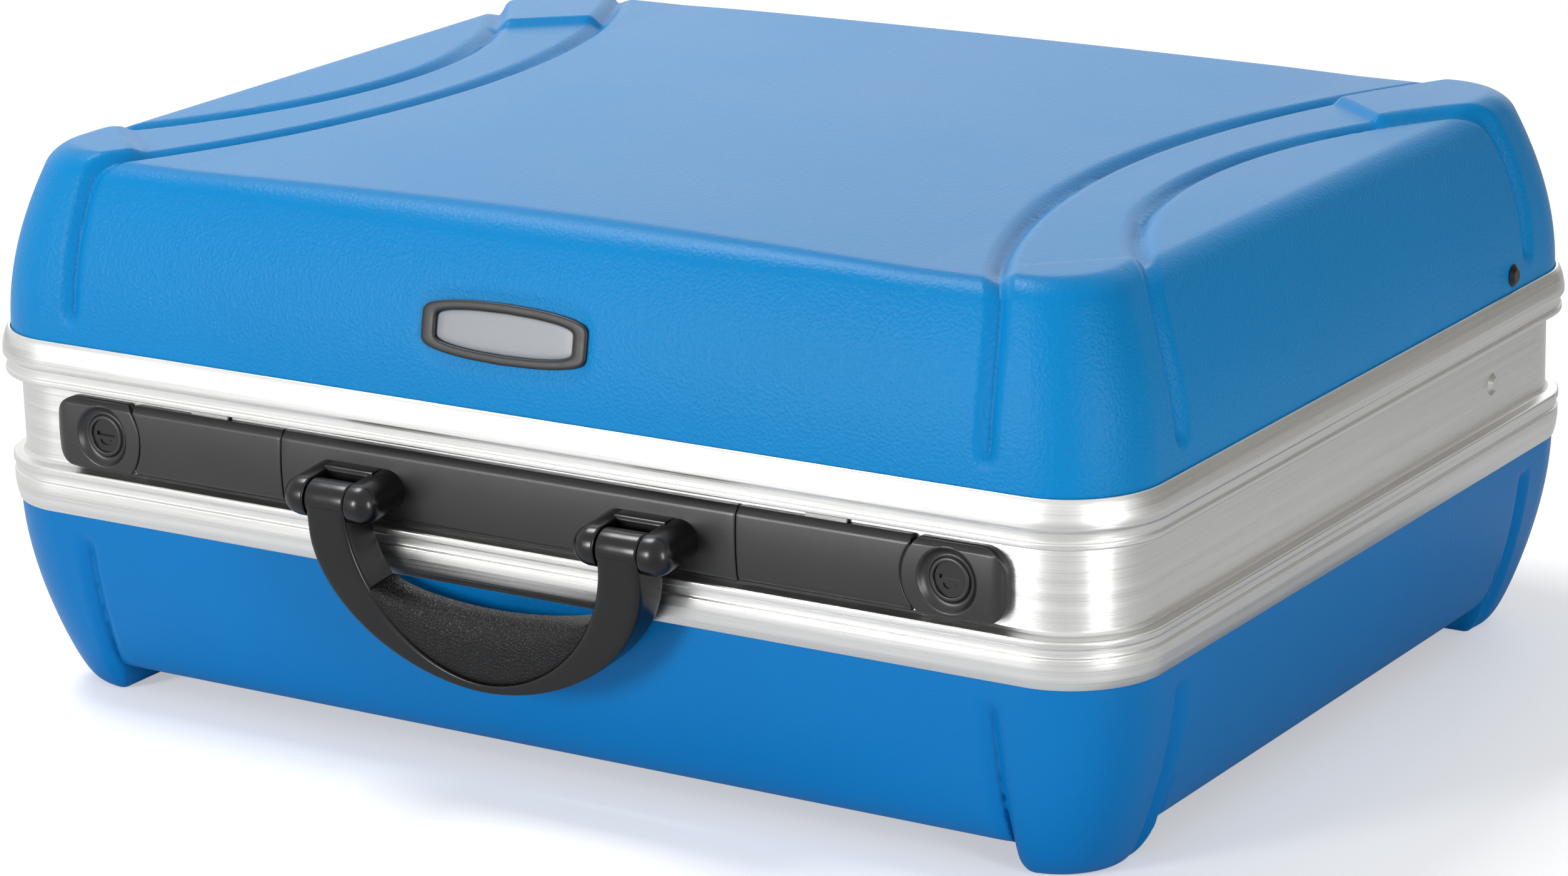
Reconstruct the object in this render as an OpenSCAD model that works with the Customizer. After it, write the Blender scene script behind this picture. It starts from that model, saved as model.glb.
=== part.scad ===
// Hard tool case: two moulded shells in aluminium frames, a carrying handle,
// two lever latches with key locks, two rear hinges and a stay on each side.
// Millimetres, +Z up, +X to the right of somebody who faces the handle.

/* [Case] */
// Width over the shell lips, left to right
case_w = 470; // [440:1:520]
// Depth over the shell lips, front to back
case_d = 366.6; // [350:0.1:400]
// Height of the base shell from the floor to its lip
base_h = 73; // [69:0.5:85]
// Height of the lid shell from its lip to the middle of its top
lid_h = 65.5; // [58:0.5:75]
// Plan radius of the corners at the lips
corner_r = 33; // [28:0.5:38]
// Thickness of the moulded wall
shell_t = 4; // [3.5:0.1:4.4]

/* [Shell form] */
// How far the lid wall leans in before it turns into the top
lid_turn = 40; // [34:0.5:44]
// Straight lean of the lid wall
lid_lean = 2.4; // [1:0.1:4]
// Fall of the lid top from the middle towards the sides
lid_crown = 1.9; // [1:0.1:3]
// Height of the raised corner pads of the lid
pad_h = 2; // [1:0.1:3]
// Lean of the base wall down to the floor
base_lean = 18; // [13:0.5:22]
// Distance of the bottom's edge inside the lip
base_end = 24.5; // [22:0.1:27]
// Height of the four moulded feet
foot_h = 10.3; // [8:0.1:13]
// Half width of the moulded grooves
groove_w = 4.5; // [3.5:0.1:5.5]
// Depth of the moulded grooves
groove_d = 2.6; // [1.5:0.1:2.8]
// Distance of a groove's closed end from the lip
groove_start = 7.5; // [5:0.5:12]
// Inner groove: distance from the side of the case at its middle
inner_mid = 95.5; // [90:0.5:110]
// Inner groove: distance from the side of the case on the front wall
inner_end = 44.5; // [42:0.5:50]
// Inner groove: how much of its turn is left where the top ends
inner_left = 19; // [16:0.5:22]
// Outer groove: distance from the side of the case at its middle
outer_mid = 63; // [60:0.5:70]
// Outer groove: distance from the front on the side wall
outer_end = 49.3; // [46:0.1:56]
// Outer groove: how far it still runs forward below the top's edge
outer_left = 48; // [44:0.5:52]
// Distance from the side where the lid top's fall ends
crown_in = 85; // [70:1:100]

// How much the lid's corner radius shrinks per millimetre of inset
lid_round = 0.5; // [0.4:0.01:0.55]
// How much the base's corner radius shrinks per millimetre of inset
base_round = 0.5; // [0.4:0.01:0.6]

/* [Frames] */
// Height of the base frame
base_frame_h = 47.2; // [44:0.1:52]
// Height of the lid frame
lid_frame_h = 16.7; // [15:0.1:20]
// How far the plain band lies inside the lips
band_in = 3.5; // [2.5:0.1:4]
// How far the shell edges reach into the frames
skirt_h = 8; // [5:0.5:8.5]
// Thickness of the seal between the two frames
seal_t = 0.4; // [0.3:0.1:0.8]
// Wall thickness of the frames' band
frame_t = 2.6; // [2.2:0.1:3]
// How far the base frame's rim stands out from the lip
base_rim = 1.5; // [1:0.1:2]
// How far the lid frame's rim stands out from the lip
lid_rim = 2.1; // [1.6:0.1:2.4]
// How far the lid frame's bead stands out from the lip
lid_bead = 3; // [2.6:0.1:3.4]

/* [Lock strip] */
// Length of the strip that carries the handle and the latches
strip_l = 393; // [370:1:400]
// Height of the strip
strip_h = 26.2; // [24:0.2:27]
// Thickness of the strip over the band
strip_t = 4.3; // [4.2:0.1:5.2]
// Crown of the strip's front face
strip_crown = 1; // [0.5:0.1:1.5]
// Height of the strip's bottom above the base's lip
strip_up = 19; // [18.6:0.1:20]
// Length of one latch lever
lever_l = 67; // [60:0.5:72]
// Length of one lock housing
housing_l = 35.2; // [32:0.2:40]
// Gap between neighbouring strip pieces
strip_gap = 0.3; // [0.2:0.05:0.5]
// Radius of the key barrel
barrel_r = 6; // [5:0.1:7]
// Radius of the dish around the key barrel
dish_r = 11.2; // [10:0.1:11.6]
// Depth of the dish
dish_deep = 3; // [2.6:0.1:3.2]
// Distance of the key barrel from the strip's end
dish_in = 21.3; // [19:0.1:23]
// Radius of the latch pins
latch_pin_r = 1; // [0.8:0.05:1.2]
// Width of the steel keepers
keeper_w = 16; // [12:0.5:20]

/* [Handle] */
// Distance between the centres of the two handle brackets
bracket_span = 120.8; // [110:0.2:130]
// Distance of the handle pivot from the strip's face
pivot_out = 14.2; // [13.6:0.1:17]
// Height of the handle pivot above the strip's bottom
pivot_up = 10.5; // [9.5:0.1:12]
// Width of one handle arm
arm_w = 16.7; // [14:0.1:18]
// Depth of the handle from front to back
handle_t = 16; // [13:0.5:16]
// Drop of the handle below its pivot
handle_drop = 60; // [55:0.5:66]
// Thickness of the handle's strap at the bottom
strap_t = 3.3; // [2.5:0.1:4]
// Height of the grip at its middle
grip_h = 27.5; // [22:0.5:32]
// Lean of the hanging handle towards the case
handle_lean = 6; // [3:0.5:7]
// Radius of the bracket ears
ear_r = 7.2; // [6.5:0.1:8]
// Length of one ear along the pivot
ear_l = 10.8; // [9:0.1:12]
// Radius of the handle pins
handle_pin_r = 2.5; // [2:0.1:3]

/* [Hinges and stays] */
// Distance between the middles of the two hinges
hinge_span = 250; // [200:1:300]
// Length of one hinge
hinge_l = 60; // [45:1:80]
// Radius of the hinge pin
hinge_pin_r = 1.5; // [1.2:0.1:1.7]
// Radius of the hinge knuckle
knuckle_r = 3.2; // [2.9:0.1:3.6]
// Widest opening of the lid in degrees
lid_open = 92; // [85:1:92]
// Turn of the stay against the lid, per degree of lid
stay_ratio = 0.8; // [0.78:0.01:0.84]
// Width of the stay
stay_w = 12; // [11:0.5:14]
// Thickness of the stay
stay_t = 1.5; // [1:0.1:2]
// Radius of the stay pins
stay_pin_r = 3; // [2.5:0.1:3.2]
// Distance of the stay's outer face from the side of the case
stay_in = 18; // [16:0.1:20]
// Distance of the stay's pin in the base from the rear lip
base_pin_back = 73.7; // [70:0.1:78]
// Height of the stay's pin in the base above the base's lip
base_pin_up = 31.5; // [29:0.1:34]
// Distance of the stay's pin in the lid from the rear lip
lid_pin_back = 63.3; // [60:0.1:68]
// Height of the stay's pin in the lid above the lid's lip
lid_pin_up = 5.7; // [5.2:0.1:8]

/* [Badge plate] */
// Width of the badge bezel
badge_w = 68; // [60:0.5:76]
// Height of the badge bezel
badge_h = 21; // [18:0.5:22]
// Height of the badge's middle above the lid's lip
badge_up = 26.7; // [24:0.1:30]

/* [Fits] */
// Running clearance of a pin in its bore, on the radius
pin_fit = 0.05; // [0.03:0.01:0.08]
// Clearance between pieces that seat or move past each other
seat_gap = 0.3; // [0.2:0.05:0.4]

/* [Hidden] */

blue = [0, 0.47, 0.78];
metal = [0.76, 0.76, 0.77];
black = [0.09, 0.09, 0.1];
dark = [0.03, 0.03, 0.035];

hw = case_w / 2;
hd = case_d / 2;
z_base = base_h;
z_part = z_base + base_frame_h;
z_open = z_part + seal_t / 2;
z_lid = z_part + seal_t + lid_frame_h;
lip_in = 0.6;
corner_min = 11;
lean_curve = 1.75; // how late the base wall leans in
heel_curve = 16; // how tightly it turns into the floor
lid_curve = 3; // how tightly the lid wall turns into the top

// Grooves in plan: the inner arc runs from front to back, the outer arc stands beside it.
turn_in = lip_in + lid_turn + lid_lean;
inner_x0 = hw - inner_mid;
inner_rise = inner_mid - inner_end - inner_left;
inner_y1 = hd - turn_in;
inner_r = (inner_rise * inner_rise + inner_y1 * inner_y1) / (2 * inner_rise);
inner_c = inner_x0 + inner_r;
outer_x0 = hw - outer_mid;
outer_rise = outer_mid - turn_in;
outer_y1 = hd - outer_end - outer_left;
outer_r = (outer_rise * outer_rise + outer_y1 * outer_y1) / (2 * outer_rise);
outer_c = outer_x0 + outer_r;
front_x = hw - inner_end;
side_y = hd - outer_end;

function smooth(t) = let(u = min(max(t, 0), 1)) u * u * (3 - 2 * u);
function snap(p) = [for (v = p) round(v * 10000) / 10000];
function lerp(a, b, t) = a + (b - a) * t;
function corner(s, lid) = max(corner_r - s * (lid ? lid_round : base_round), corner_min);
function inner_x(y) = min(inner_c - sqrt(inner_r * inner_r - y * y), front_x);
function outer_y(x) = min(sqrt(max(outer_r * outer_r - (outer_c - x) * (outer_c - x), 1)), side_y);

// Wall profiles: inset at the share g of the height, from the lip to the top or the floor.
function lid_in(g) = lip_in + lid_turn * (1 - pow(1 - pow(g, lid_curve), 1 / lid_curve)) + lid_lean * g;
function lean(h) = base_lean * pow(h / base_h, lean_curve);
function base_in(g, h) = lip_in + lean(g * h)
    + (base_end - lip_in - lean(h)) * (1 - pow(1 - pow(g, heel_curve), 1 / 3));
function lid_top(x) = lid_h - lid_crown * pow(min(abs(x) / (hw - crown_in), 1), 2);
function base_deep(k) = base_h - foot_h * (1 - k);
function foot_share(c) = smooth(2 * c[5] - 1);

// One quarter of a ring: [x, y, normal x, normal y, groove share, corner share].
rows = 7;
arc_steps = 6;
mid_steps = 3;
lens_steps = 3;
band_steps = arc_steps + 2;
groove_cut = [0, 0.5, 1, 0.5, 0];
turn_front = 8; // plan length over which a groove turns square to the front wall
turn_side = 15; // and to the side wall
groove_rim = 0.5; // flat between a base groove and the corner
function lid_grooves(x, y) =
    let(gx = inner_x(min(y, 0.8 * inner_r)), gy = outer_y(x))
    [gx, gy, groove_w * lerp(1, inner_r / (inner_c - gx), smooth((front_x - gx) / turn_front)),
     groove_w * lerp(1, outer_r / gy, smooth((side_y - gy) / turn_side))];
function base_grooves(x, y, r) =
    let(edge = groove_w + groove_rim) [min(front_x, x - r - edge), min(side_y, y - r - edge), groove_w, groove_w];
function columns(s, lid, wall) =
    let(r = corner(s, lid) - wall, x = hw - s - wall, y = hd - s - wall,
        g = lid ? lid_grooves(x, y) : base_grooves(x, y, r),
        gx = g[0], gy = g[1], kx = g[2], ky = g[3])
    concat(
        [for (i = [0:mid_steps - 1]) [(gx - kx) * i / mid_steps, y, 0, 1, 0, 0]],
        [for (i = [0:4]) [gx + kx * (i / 2 - 1), y, 0, 1, groove_cut[i], i / 4]],
        [for (i = [0:arc_steps]) let(a = 90 - 90 * i / arc_steps)
            [x - r + r * cos(a), y - r + r * sin(a), cos(a), sin(a), 0, 1]],
        [for (i = [0:4]) [x, gy + ky * (1 - i / 2), 1, 0, groove_cut[i], 1 - i / 4]],
        [for (j = [1:rows]) [x, (gy - ky) * (1 - j / rows), 1, 0, 0, 0]]);

// A point of a wall from its column, inset, height and the direction of the groove's depth.
function shell_point(c, inset_more, z, dig, a, b) =
    snap([c[0] - c[2] * (inset_more + dig * a), c[1] - c[3] * (inset_more + dig * a), z + dig * b]);
function lid_point(c, g) =
    let(rise = lid_top(c[0]) + pad_h * smooth(c[5]) * pow(g, 3), z = z_lid + g * rise,
        e = 0.002, ds = lid_in(min(g + e, 1)) - lid_in(g - e), dz = 2 * e * lid_h,
        n = norm([ds, dz]), dig = groove_d * c[4] * smooth((z - z_lid - groove_start) / groove_w))
    shell_point(c, 0, z, dig, g == 1 ? 0 : dz / n, g == 1 ? -1 : -ds / n);
function base_point(c, g) =
    let(h = base_deep(foot_share(c)), z = z_base - g * h,
        dig = groove_d * c[4] * smooth((z_base - z - groove_start) / groove_w) * (1 - pow(g, 12)))
    shell_point(c, base_in(g, h) - base_in(g, base_h), z, dig, 1, 0);

wall_steps = 8;
function shares(h, p) = concat([0, groove_start / h, (groove_start + 1.3 * groove_w) / h],
    [for (i = [1:wall_steps]) lerp(groove_start / h, 1, 1 - pow(1 - i / wall_steps, p))]);
inside_shares = [0, 0.45, 0.75, 0.92, 1];

// Rows of the closed side between the last ring's columns, from the ring to the middle.
pad_rows = [[0.87, 0.835], [0.97, 0.93]]; // shares that end on the pads and just past them
function row_shares(a, b) = concat([a, b], [for (j = [1:rows - 2]) b * (1 - j / (rows - 2))]);
row_inner = row_shares(pad_rows[0][0], pad_rows[0][1]);
row_outer = row_shares(pad_rows[1][0], pad_rows[1][1]);
function lid_arcs(a, b) =
    let(y = inner_y1 * a, p = [inner_x(y), y], v = outer_y1 * b,
        q = [outer_c - sqrt(outer_r * outer_r - v * v), v])
    [p, [inner_c - p[0], -p[1]] / inner_r, q, [outer_c - q[0], -q[1]] / outer_r];
function base_lines(ring, a, b) =
    let(p = ring[mid_steps + 2], q = ring[len(ring) - rows - 3])
    [[p[0] - (1 - a) * groove_w * 6, p[1] * a], [1, 0], [q[0] - (1 - b) * groove_w * 4, q[1] * b], [0, -1]];
function row_points(ring, j, lid) =
    let(m = lid ? lid_arcs(row_inner[j - 1], row_outer[j - 1])
                : base_lines(ring, row_inner[j - 1], row_outer[j - 1]),
        a = m[0], na = m[1], ay = a[1], b = m[2], nb = j == rows && !lid ? [1, 0] : m[3],
        last = ring[len(ring) - 1 - rows + j], c = [last[0], last[1]],
        k = j == 1 ? 1 : 0, a0 = a - groove_w * na, a1 = a + groove_w * na,
        b0 = b - groove_w * nb, b1 = b + groove_w * nb)
    concat(
        [for (i = [0:mid_steps - 1]) let(p = lerp([0, ay], a0, i / mid_steps)) [p[0], p[1], 0, 0, 0, 0]],
        [for (i = [0:4]) let(p = lerp(a0, a1, i / 4)) [p[0], p[1], 0, 0, groove_cut[i], k * i / 4]],
        [for (i = [1:band_steps - 1]) let(p = lerp(a1, b0, i / band_steps)) [p[0], p[1], 0, 0, 0, k]],
        [for (i = [0:4]) let(p = lerp(b0, b1, i / 4)) [p[0], p[1], 0, 0, groove_cut[i], k * (1 - i / 4)]],
        [for (i = [1:lens_steps]) let(p = lerp(b1, c, i / lens_steps)) [p[0], p[1], 0, 0, 0, 0]]);
function first_row(ring) = let(n = len(ring) - rows)
    concat([for (i = [0:n - 1]) ring[i]], [for (i = [1:lens_steps]) ring[n - 1]]);

// Two triangles of a four-cornered face that is seen anticlockwise from outside.
function face(a, b, c, d) = concat(a == b || b == c || a == c ? [] : [[a, b, c]],
    a == c || c == d || a == d ? [] : [[a, c, d]]);
function grid(rings, turned) = [for (i = [0:len(rings) - 2], k = [0:len(rings[0]) - 2])
    let(a = rings[i][k], b = rings[i][k + 1], c = rings[i + 1][k + 1], d = rings[i + 1][k])
    each turned ? face(a, b, c, d) : face(a, d, c, b)];
function mirrored(t, x, y) = [for (f = t)
    let(p = [for (v = f) [v[0] * x, v[1] * y, v[2]]]) x * y > 0 ? p : [p[2], p[1], p[0]]];
function four(t) = concat(t, mirrored(t, -1, 1), mirrored(t, 1, -1), mirrored(t, -1, -1));
module solid_of(t) {
    polyhedron([for (f = t) each f], [for (i = [0:len(t) - 1]) [3 * i + 2, 3 * i + 1, 3 * i]]);
}

function skirt(s, z, lid, wall) = [for (c = columns(s, lid, wall)) snap([c[0], c[1], z])];
function cap(ring, z) = [for (k = [0:len(ring) - 2]) [ring[k], ring[k + 1], [0, 0, z]]];

// A whole shell: outer wall, closed side, inner wall and ceiling, and the edge in the frame.
module shell_solid(lid) {
    gs = lid ? shares(lid_h, 2.5) : shares(base_h, 2.2);
    last = columns(lid ? lid_in(1) : base_end, lid, 0);
    edge_z = lid ? z_lid - skirt_h : z_base + skirt_h;
    outer = concat([skirt(lip_in, edge_z, lid, 0)],
        [for (g = gs) [for (c = columns(lid ? lid_in(g) : base_in(g, base_h), lid, 0))
            lid ? lid_point(c, g) : base_point(c, g)]]);
    tops = concat([first_row(last)], [for (j = [1:rows]) row_points(last, j, lid)]);
    closed = [for (row = tops) [for (c = row) lid ? lid_point(c, 1) : base_flat(c)]];
    deep = lid ? lid_h - lid_crown - shell_t : base_h - foot_h - shell_t;
    inner = concat([skirt(lip_in, edge_z, lid, shell_t)],
        [for (g = inside_shares) skirt(lid ? lid_in(g) : base_in(g, base_h - foot_h),
            lid ? z_lid + g * deep : z_base - g * deep, lid, shell_t)]);
    rim = grid([outer[0], inner[0]], lid);
    ceiling = cap(inner[len(inner) - 1], lid ? z_lid + deep : z_base - deep);
    quarter = concat(grid(outer, !lid), grid(closed, !lid), grid(inner, lid), rim,
        lid ? ceiling : [for (f = ceiling) [f[2], f[1], f[0]]]);
    solid_of(four(quarter));
}
function base_flat(c) = snap([c[0], c[1], z_base - base_deep(foot_share(c))]);

module place() { translate([0, y_shift, 0]) children(); }
module both() {
    children();
    mirror([1, 0, 0]) children();
}
module side(right) { mirror([right ? 0 : 1, 0, 0]) children(); }
// A profile in [y, z] drawn out along X, and a round bar along X or along Y.
module along_x(x0, x1, pts) {
    translate([x0, 0, 0]) rotate([90, 0, 90]) linear_extrude(x1 - x0) polygon(pts);
}
module bar_x(x0, x1, y, z, r) {
    translate([x0, y, z]) rotate([0, 90, 0]) cylinder(h = x1 - x0, r = r, $fn = 48);
}
module bar_y(x, y0, y1, z, r, r2) {
    translate([x, y1, z]) rotate([90, 0, 0]) cylinder(h = y1 - y0, r1 = r2, r2 = r, $fn = 48);
}

// Frames: one profile in [distance outside the lip, height], swept round the case.
band_y = hd - band_in;
band_back = band_in + frame_t;
slot_out = lip_in - 0.1;
slot_in = lip_in + shell_t + 0.6;
slot_deep = skirt_h + seat_gap;
seal_in = band_in + frame_t / 2;
seal_w = 1.4;
module swept_ring(pts) {
    p = [for (q = pts) [corner_r + q[0], q[1]]];
    x = hw - corner_r;
    y = hd - corner_r;
    for (i = [0, 1]) mirror([0, i, 0]) translate([-x, y, 0])
        rotate([90, 0, 90]) linear_extrude(2 * x) polygon(p);
    for (i = [0, 1]) mirror([i, 0, 0]) translate([x, y, 0])
        rotate([90, 0, 0]) linear_extrude(2 * y) polygon(p);
    for (i = [0, 1], j = [0, 1]) mirror([i, 0, 0]) mirror([0, j, 0]) translate([x, y, 0])
        rotate_extrude(angle = 90, $fn = 96) polygon(p);
}
// Lip, shadow groove, rim and plain band with the seal's channel in its top edge.
lip_belly = 7; // height where the lip is widest
shadow_z = [11.2, 13.9]; // the shadow groove
rim_z = 16.4; // top of the rim
band_z = 18.6; // foot of the plain band
frame_edge = 0.4; // bevel of a frame's edges
floor_t = 1.5; // floor of the slot that holds a shell's edge
seal_deep = 1;
function base_profile() = let(h = base_frame_h, lip = base_rim - 0.2, g = base_rim - 1)
    [[-slot_out, 0], [0, 0], [0.6 * lip, lip_belly - 4], [lip, lip_belly], [lip, shadow_z[0] - frame_edge],
     [g, shadow_z[0]], [g, shadow_z[1]], [base_rim, shadow_z[1] + frame_edge], [base_rim, rim_z],
     [base_rim - 0.5, rim_z + 0.5], [1.1 - band_in, band_z - 1.2], [-band_in, band_z], [-band_in, h],
     [-seal_in + seal_w / 2, h], [-seal_in + seal_w / 2, h - seal_deep],
     [-seal_in - seal_w / 2, h - seal_deep], [-seal_in - seal_w / 2, h],
     [-band_back, h], [-band_back, floor_t], [-slot_in, floor_t], [-slot_in, slot_deep], [-slot_out, slot_deep]];
// Rim over the band, a step and the rounded bead that ends in the lip.
lid_rim_h = 2.5;
lid_step = 0.6; // how far the step lies behind the rim
bead_z = 6.1; // where the bead starts
function lid_profile() = let(h = lid_frame_h)
    [[-band_back, 0], [lid_rim - frame_edge, 0], [lid_rim, frame_edge], [lid_rim, lid_rim_h - 0.5],
     [lid_rim - lid_step, lid_rim_h], [lid_rim - lid_step, bead_z - 0.5], [lid_bead - 0.5, bead_z],
     [lid_bead, bead_z + 0.9], [lid_bead - 0.1, h - 7.3], [lid_bead - 0.7, h - 4.1],
     [lid_bead - 1.7, h - 1.3], [0.5, h], [-slot_out, h], [-slot_out, h - slot_deep],
     [-slot_in, h - slot_deep], [-slot_in, h - floor_t], [-band_back, h - floor_t]];
function seal_profile() = let(h = base_frame_h)
    [[-seal_in + seal_w / 2, h - seal_deep], [-seal_in + seal_w / 2, h + seal_t],
     [-seal_in - seal_w / 2, h + seal_t], [-seal_in - seal_w / 2, h - seal_deep]];

// Stays: the slot is the path of the base pin seen from the stay as the lid opens.
hinge_y = hd + lid_bead + seat_gap + knuckle_r;
hinge_z = z_open;
base_pin = [hd - base_pin_back, z_base + base_pin_up];
lid_pin = [hd - lid_pin_back, z_lid + lid_pin_up];
slot_steps = 20;
function turned(p, c, a) = let(d = p - c) c + [d[0] * cos(a) - d[1] * sin(a), d[0] * sin(a) + d[1] * cos(a)];
function slot_at(a) = turned(turned(base_pin, [hinge_y, hinge_z], a), lid_pin, -stay_ratio * a);
slot_path = [for (i = [0:slot_steps]) slot_at(lid_open * i / slot_steps)];
bar_path = concat([lid_pin], slot_path);
function heading(path, i) = let(n = len(path) - 1, d = path[min(i + 1, n)] - path[max(i - 1, 0)]) d / norm(d);
function edge(path, w) = [for (i = [0:len(path) - 1]) let(d = heading(path, i))
    path[i] + w * [-d[1], d[0]]];
function strip_of(path, w) = let(b = edge(path, -w)) concat(edge(path, w),
    [for (i = [0:len(b) - 1]) b[len(b) - 1 - i]]);
stay_x0 = hw - stay_in - stay_t;
stay_x1 = hw - stay_in;
module stay() {
    end = slot_path[slot_steps];
    slot_r = stay_pin_r + 2 * pin_fit;
    difference() {
        union() {
            along_x(stay_x0, stay_x1, strip_of(bar_path, stay_w / 2));
            bar_x(stay_x0, stay_x1, lid_pin[0], lid_pin[1], stay_w / 2);
            bar_x(stay_x0, stay_x1, end[0], end[1], stay_w / 2);
        }
        bar_x(stay_x0 - 1, stay_x1 + 1, lid_pin[0], lid_pin[1], stay_pin_r + pin_fit);
        along_x(stay_x0 - 1, stay_x1 + 1, strip_of(slot_path, slot_r));
        bar_x(stay_x0 - 1, stay_x1 + 1, base_pin[0], base_pin[1], slot_r);
        bar_x(stay_x0 - 1, stay_x1 + 1, end[0], end[1], slot_r);
    }
}
// A shouldered rivet along X: outer head, shank in the wall, spacer, pin and inner head.
head_h = 1.3;
stay_play = 0.2; // room beside the stay
module stay_rivet(p, wall_out, wall_in) {
    head_r = stay_pin_r + 1.2;
    bar_x(stay_x0 - stay_play - head_h, stay_x0 - stay_play, p[0], p[1], head_r);
    bar_x(stay_x0 - stay_play, stay_x1 + stay_play, p[0], p[1], stay_pin_r);
    bar_x(stay_x1 + stay_play, wall_in, p[0], p[1], head_r);
    bar_x(wall_in, wall_out, p[0], p[1], stay_pin_r);
    translate([wall_out, p[0], p[1]]) rotate([0, 90, 0]) cylinder(h = head_h, r1 = head_r, r2 = stay_pin_r - 0.6, $fn = 48);
}
lid_wall_x = hw - lid_in((lid_pin[1] - z_lid) / lid_h);

// Badge: a bezel with a plain insert on a flat pressed in the lid's front wall.
badge_g = badge_up / lid_h;
badge_y = hd - lid_in(badge_g);
badge_tilt = atan((lid_in(badge_g + 0.1) - lid_in(badge_g - 0.1)) / (0.2 * lid_h));
badge_sink = 1.2;
badge_out = 0.9;
bezel_w = 2.8;
badge_square = 0.45; // exponent of its barrel shape
function power(v, e) = sign(v) * pow(abs(v), e);
function barrel_shape(a, b, e) = [for (i = [0:47]) [a * power(cos(i * 7.5), e), b * power(sin(i * 7.5), e)]];
module badge_part(z0, z1, less) {
    translate([0, -badge_y, z_lid + badge_up]) rotate([90 - badge_tilt, 0, 0]) translate([0, 0, z0])
        linear_extrude(z1 - z0) polygon(barrel_shape(badge_w / 2 - less, badge_h / 2 - less, badge_square));
}

// Lock strip: one crowned profile in [distance outside the band, height above the strip's bottom].
strip_z = z_base + strip_up;
plate_x = strip_l / 2 - lever_l - housing_l;
housing_x = plate_x + lever_l;
dish_x = strip_l / 2 - dish_in;
dish_z = strip_z + strip_h / 2;
bump_r = 17.2; // radius of the housing's round end in the lever
bottom_edge = [[0, 0], [strip_t - 0.9, 0], [strip_t - 0.2, 0.7]];
top_bevel = 2.3;
function face_out(z) = strip_t + strip_crown * (1 - pow(2 * z / strip_h - 1, 2));
face_steps = 8;
function face_line(z0, z1) = [for (i = [0:face_steps]) let(z = lerp(z0, z1, i / face_steps)) [face_out(z), z]];
function strip_profile() = concat(bottom_edge,
    face_line(1.8, strip_h - top_bevel), [[strip_t - 1.9, strip_h], [0, strip_h]]);
function on_strip(pts) = [for (p = pts) [-band_y - p[0], strip_z + p[1]]];
module strip_piece(x0, x1) { along_x(x0, x1, on_strip(strip_profile())); }

pivot_y = -(band_y + strip_t + strip_crown + pivot_out);
pivot_z = strip_z + pivot_up;
y_shift = -(pivot_y - ear_r + hinge_y + knuckle_r) / 2;
latch_pin = [strip_t / 2 + 0.15, strip_t / 2 + 0.05];
lever_barrel = strip_t / 2 - 0.15;
latch_y = -band_y - latch_pin[0];
latch_z = strip_z + latch_pin[1];
latch_mid = plate_x + lever_l / 2;
wall_t = 1.8;
keeper_in = 1;
knuckle_in = 1.6; // the lever's knuckle stops short of the lock housing
keeper_t = 0.9;
claw_w = 8;
claw_gap = 0.5; // between the lever and the keeper
hollow_up = 3.4; // floor of the lever's hollow above its pin

pin_reach = 5.5; // how far a latch pin reaches into the pieces beside the lever
module latch_bore(r) { bar_x(plate_x - pin_reach - 0.5, housing_x + pin_reach + 0.5, latch_y, latch_z, r); }
module latch_lever() {
    x0 = plate_x + strip_gap / 2;
    x1 = housing_x - strip_gap / 2;
    z0 = latch_pin[1];
    claw_y = keeper_in + keeper_t + claw_gap;
    shape = concat([[latch_pin[0], z0 - lever_barrel], [latch_pin[0] + 0.7 * lever_barrel, z0 - 0.7 * lever_barrel]],
        face_line(z0, strip_h - top_bevel), [[strip_t - 1.9, strip_h], [keeper_in, strip_h]]);
    difference() {
        union() {
            difference() {
                along_x(x0, x1, on_strip(concat(shape, [[keeper_in, z0 + 3], [latch_pin[0], z0 + 1]])));
                along_x(x0 + wall_t, x1 - wall_t - 3.5, on_strip(concat([[keeper_in - 1, z0 + hollow_up]],
                    [for (p = face_line(z0 + hollow_up, strip_h - 3)) [p[0] - wall_t, p[1]]],
                    [[strip_t - 1.9, strip_h - wall_t], [keeper_in - 1, strip_h - wall_t]])));
                along_x(latch_mid - keeper_w / 2 - 1, latch_mid + keeper_w / 2 + 1,
                    on_strip([[0, strip_h - 4], [claw_y, strip_h - 4], [claw_y, strip_h + 1], [0, strip_h + 1]]));
            }
            bar_x(x0, x1 - knuckle_in, latch_y, latch_z, lever_barrel);
            along_x(latch_mid - claw_w / 2, latch_mid + claw_w / 2, on_strip([[claw_y, strip_h - 4.6],
                [face_out(strip_h - 4) - 1, strip_h - 6.5], [face_out(strip_h - 4) - 1, strip_h - 3.4],
                [claw_y, strip_h - 3.6]]));
        }
        bar_y(dish_x, -band_y - 9, -band_y + 1, dish_z, bump_r + 0.4, bump_r + 0.4);
        latch_bore(latch_pin_r + pin_fit);
    }
}
module latch_keeper() {
    z1 = z_part + seal_t - strip_z;
    difference() {
        along_x(latch_mid - keeper_w / 2, latch_mid + keeper_w / 2,
            on_strip([[keeper_in, strip_h - 6], [keeper_in + keeper_t, strip_h - 6],
                      [keeper_in + keeper_t, z1], [keeper_in, z1]]));
        along_x(latch_mid - claw_w / 2 - 1, latch_mid + claw_w / 2 + 1, on_strip([[0, strip_h - 4.6], [4, strip_h - 4.6],
                                                        [4, strip_h - 2.6], [0, strip_h - 2.6]]));
    }
}
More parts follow.
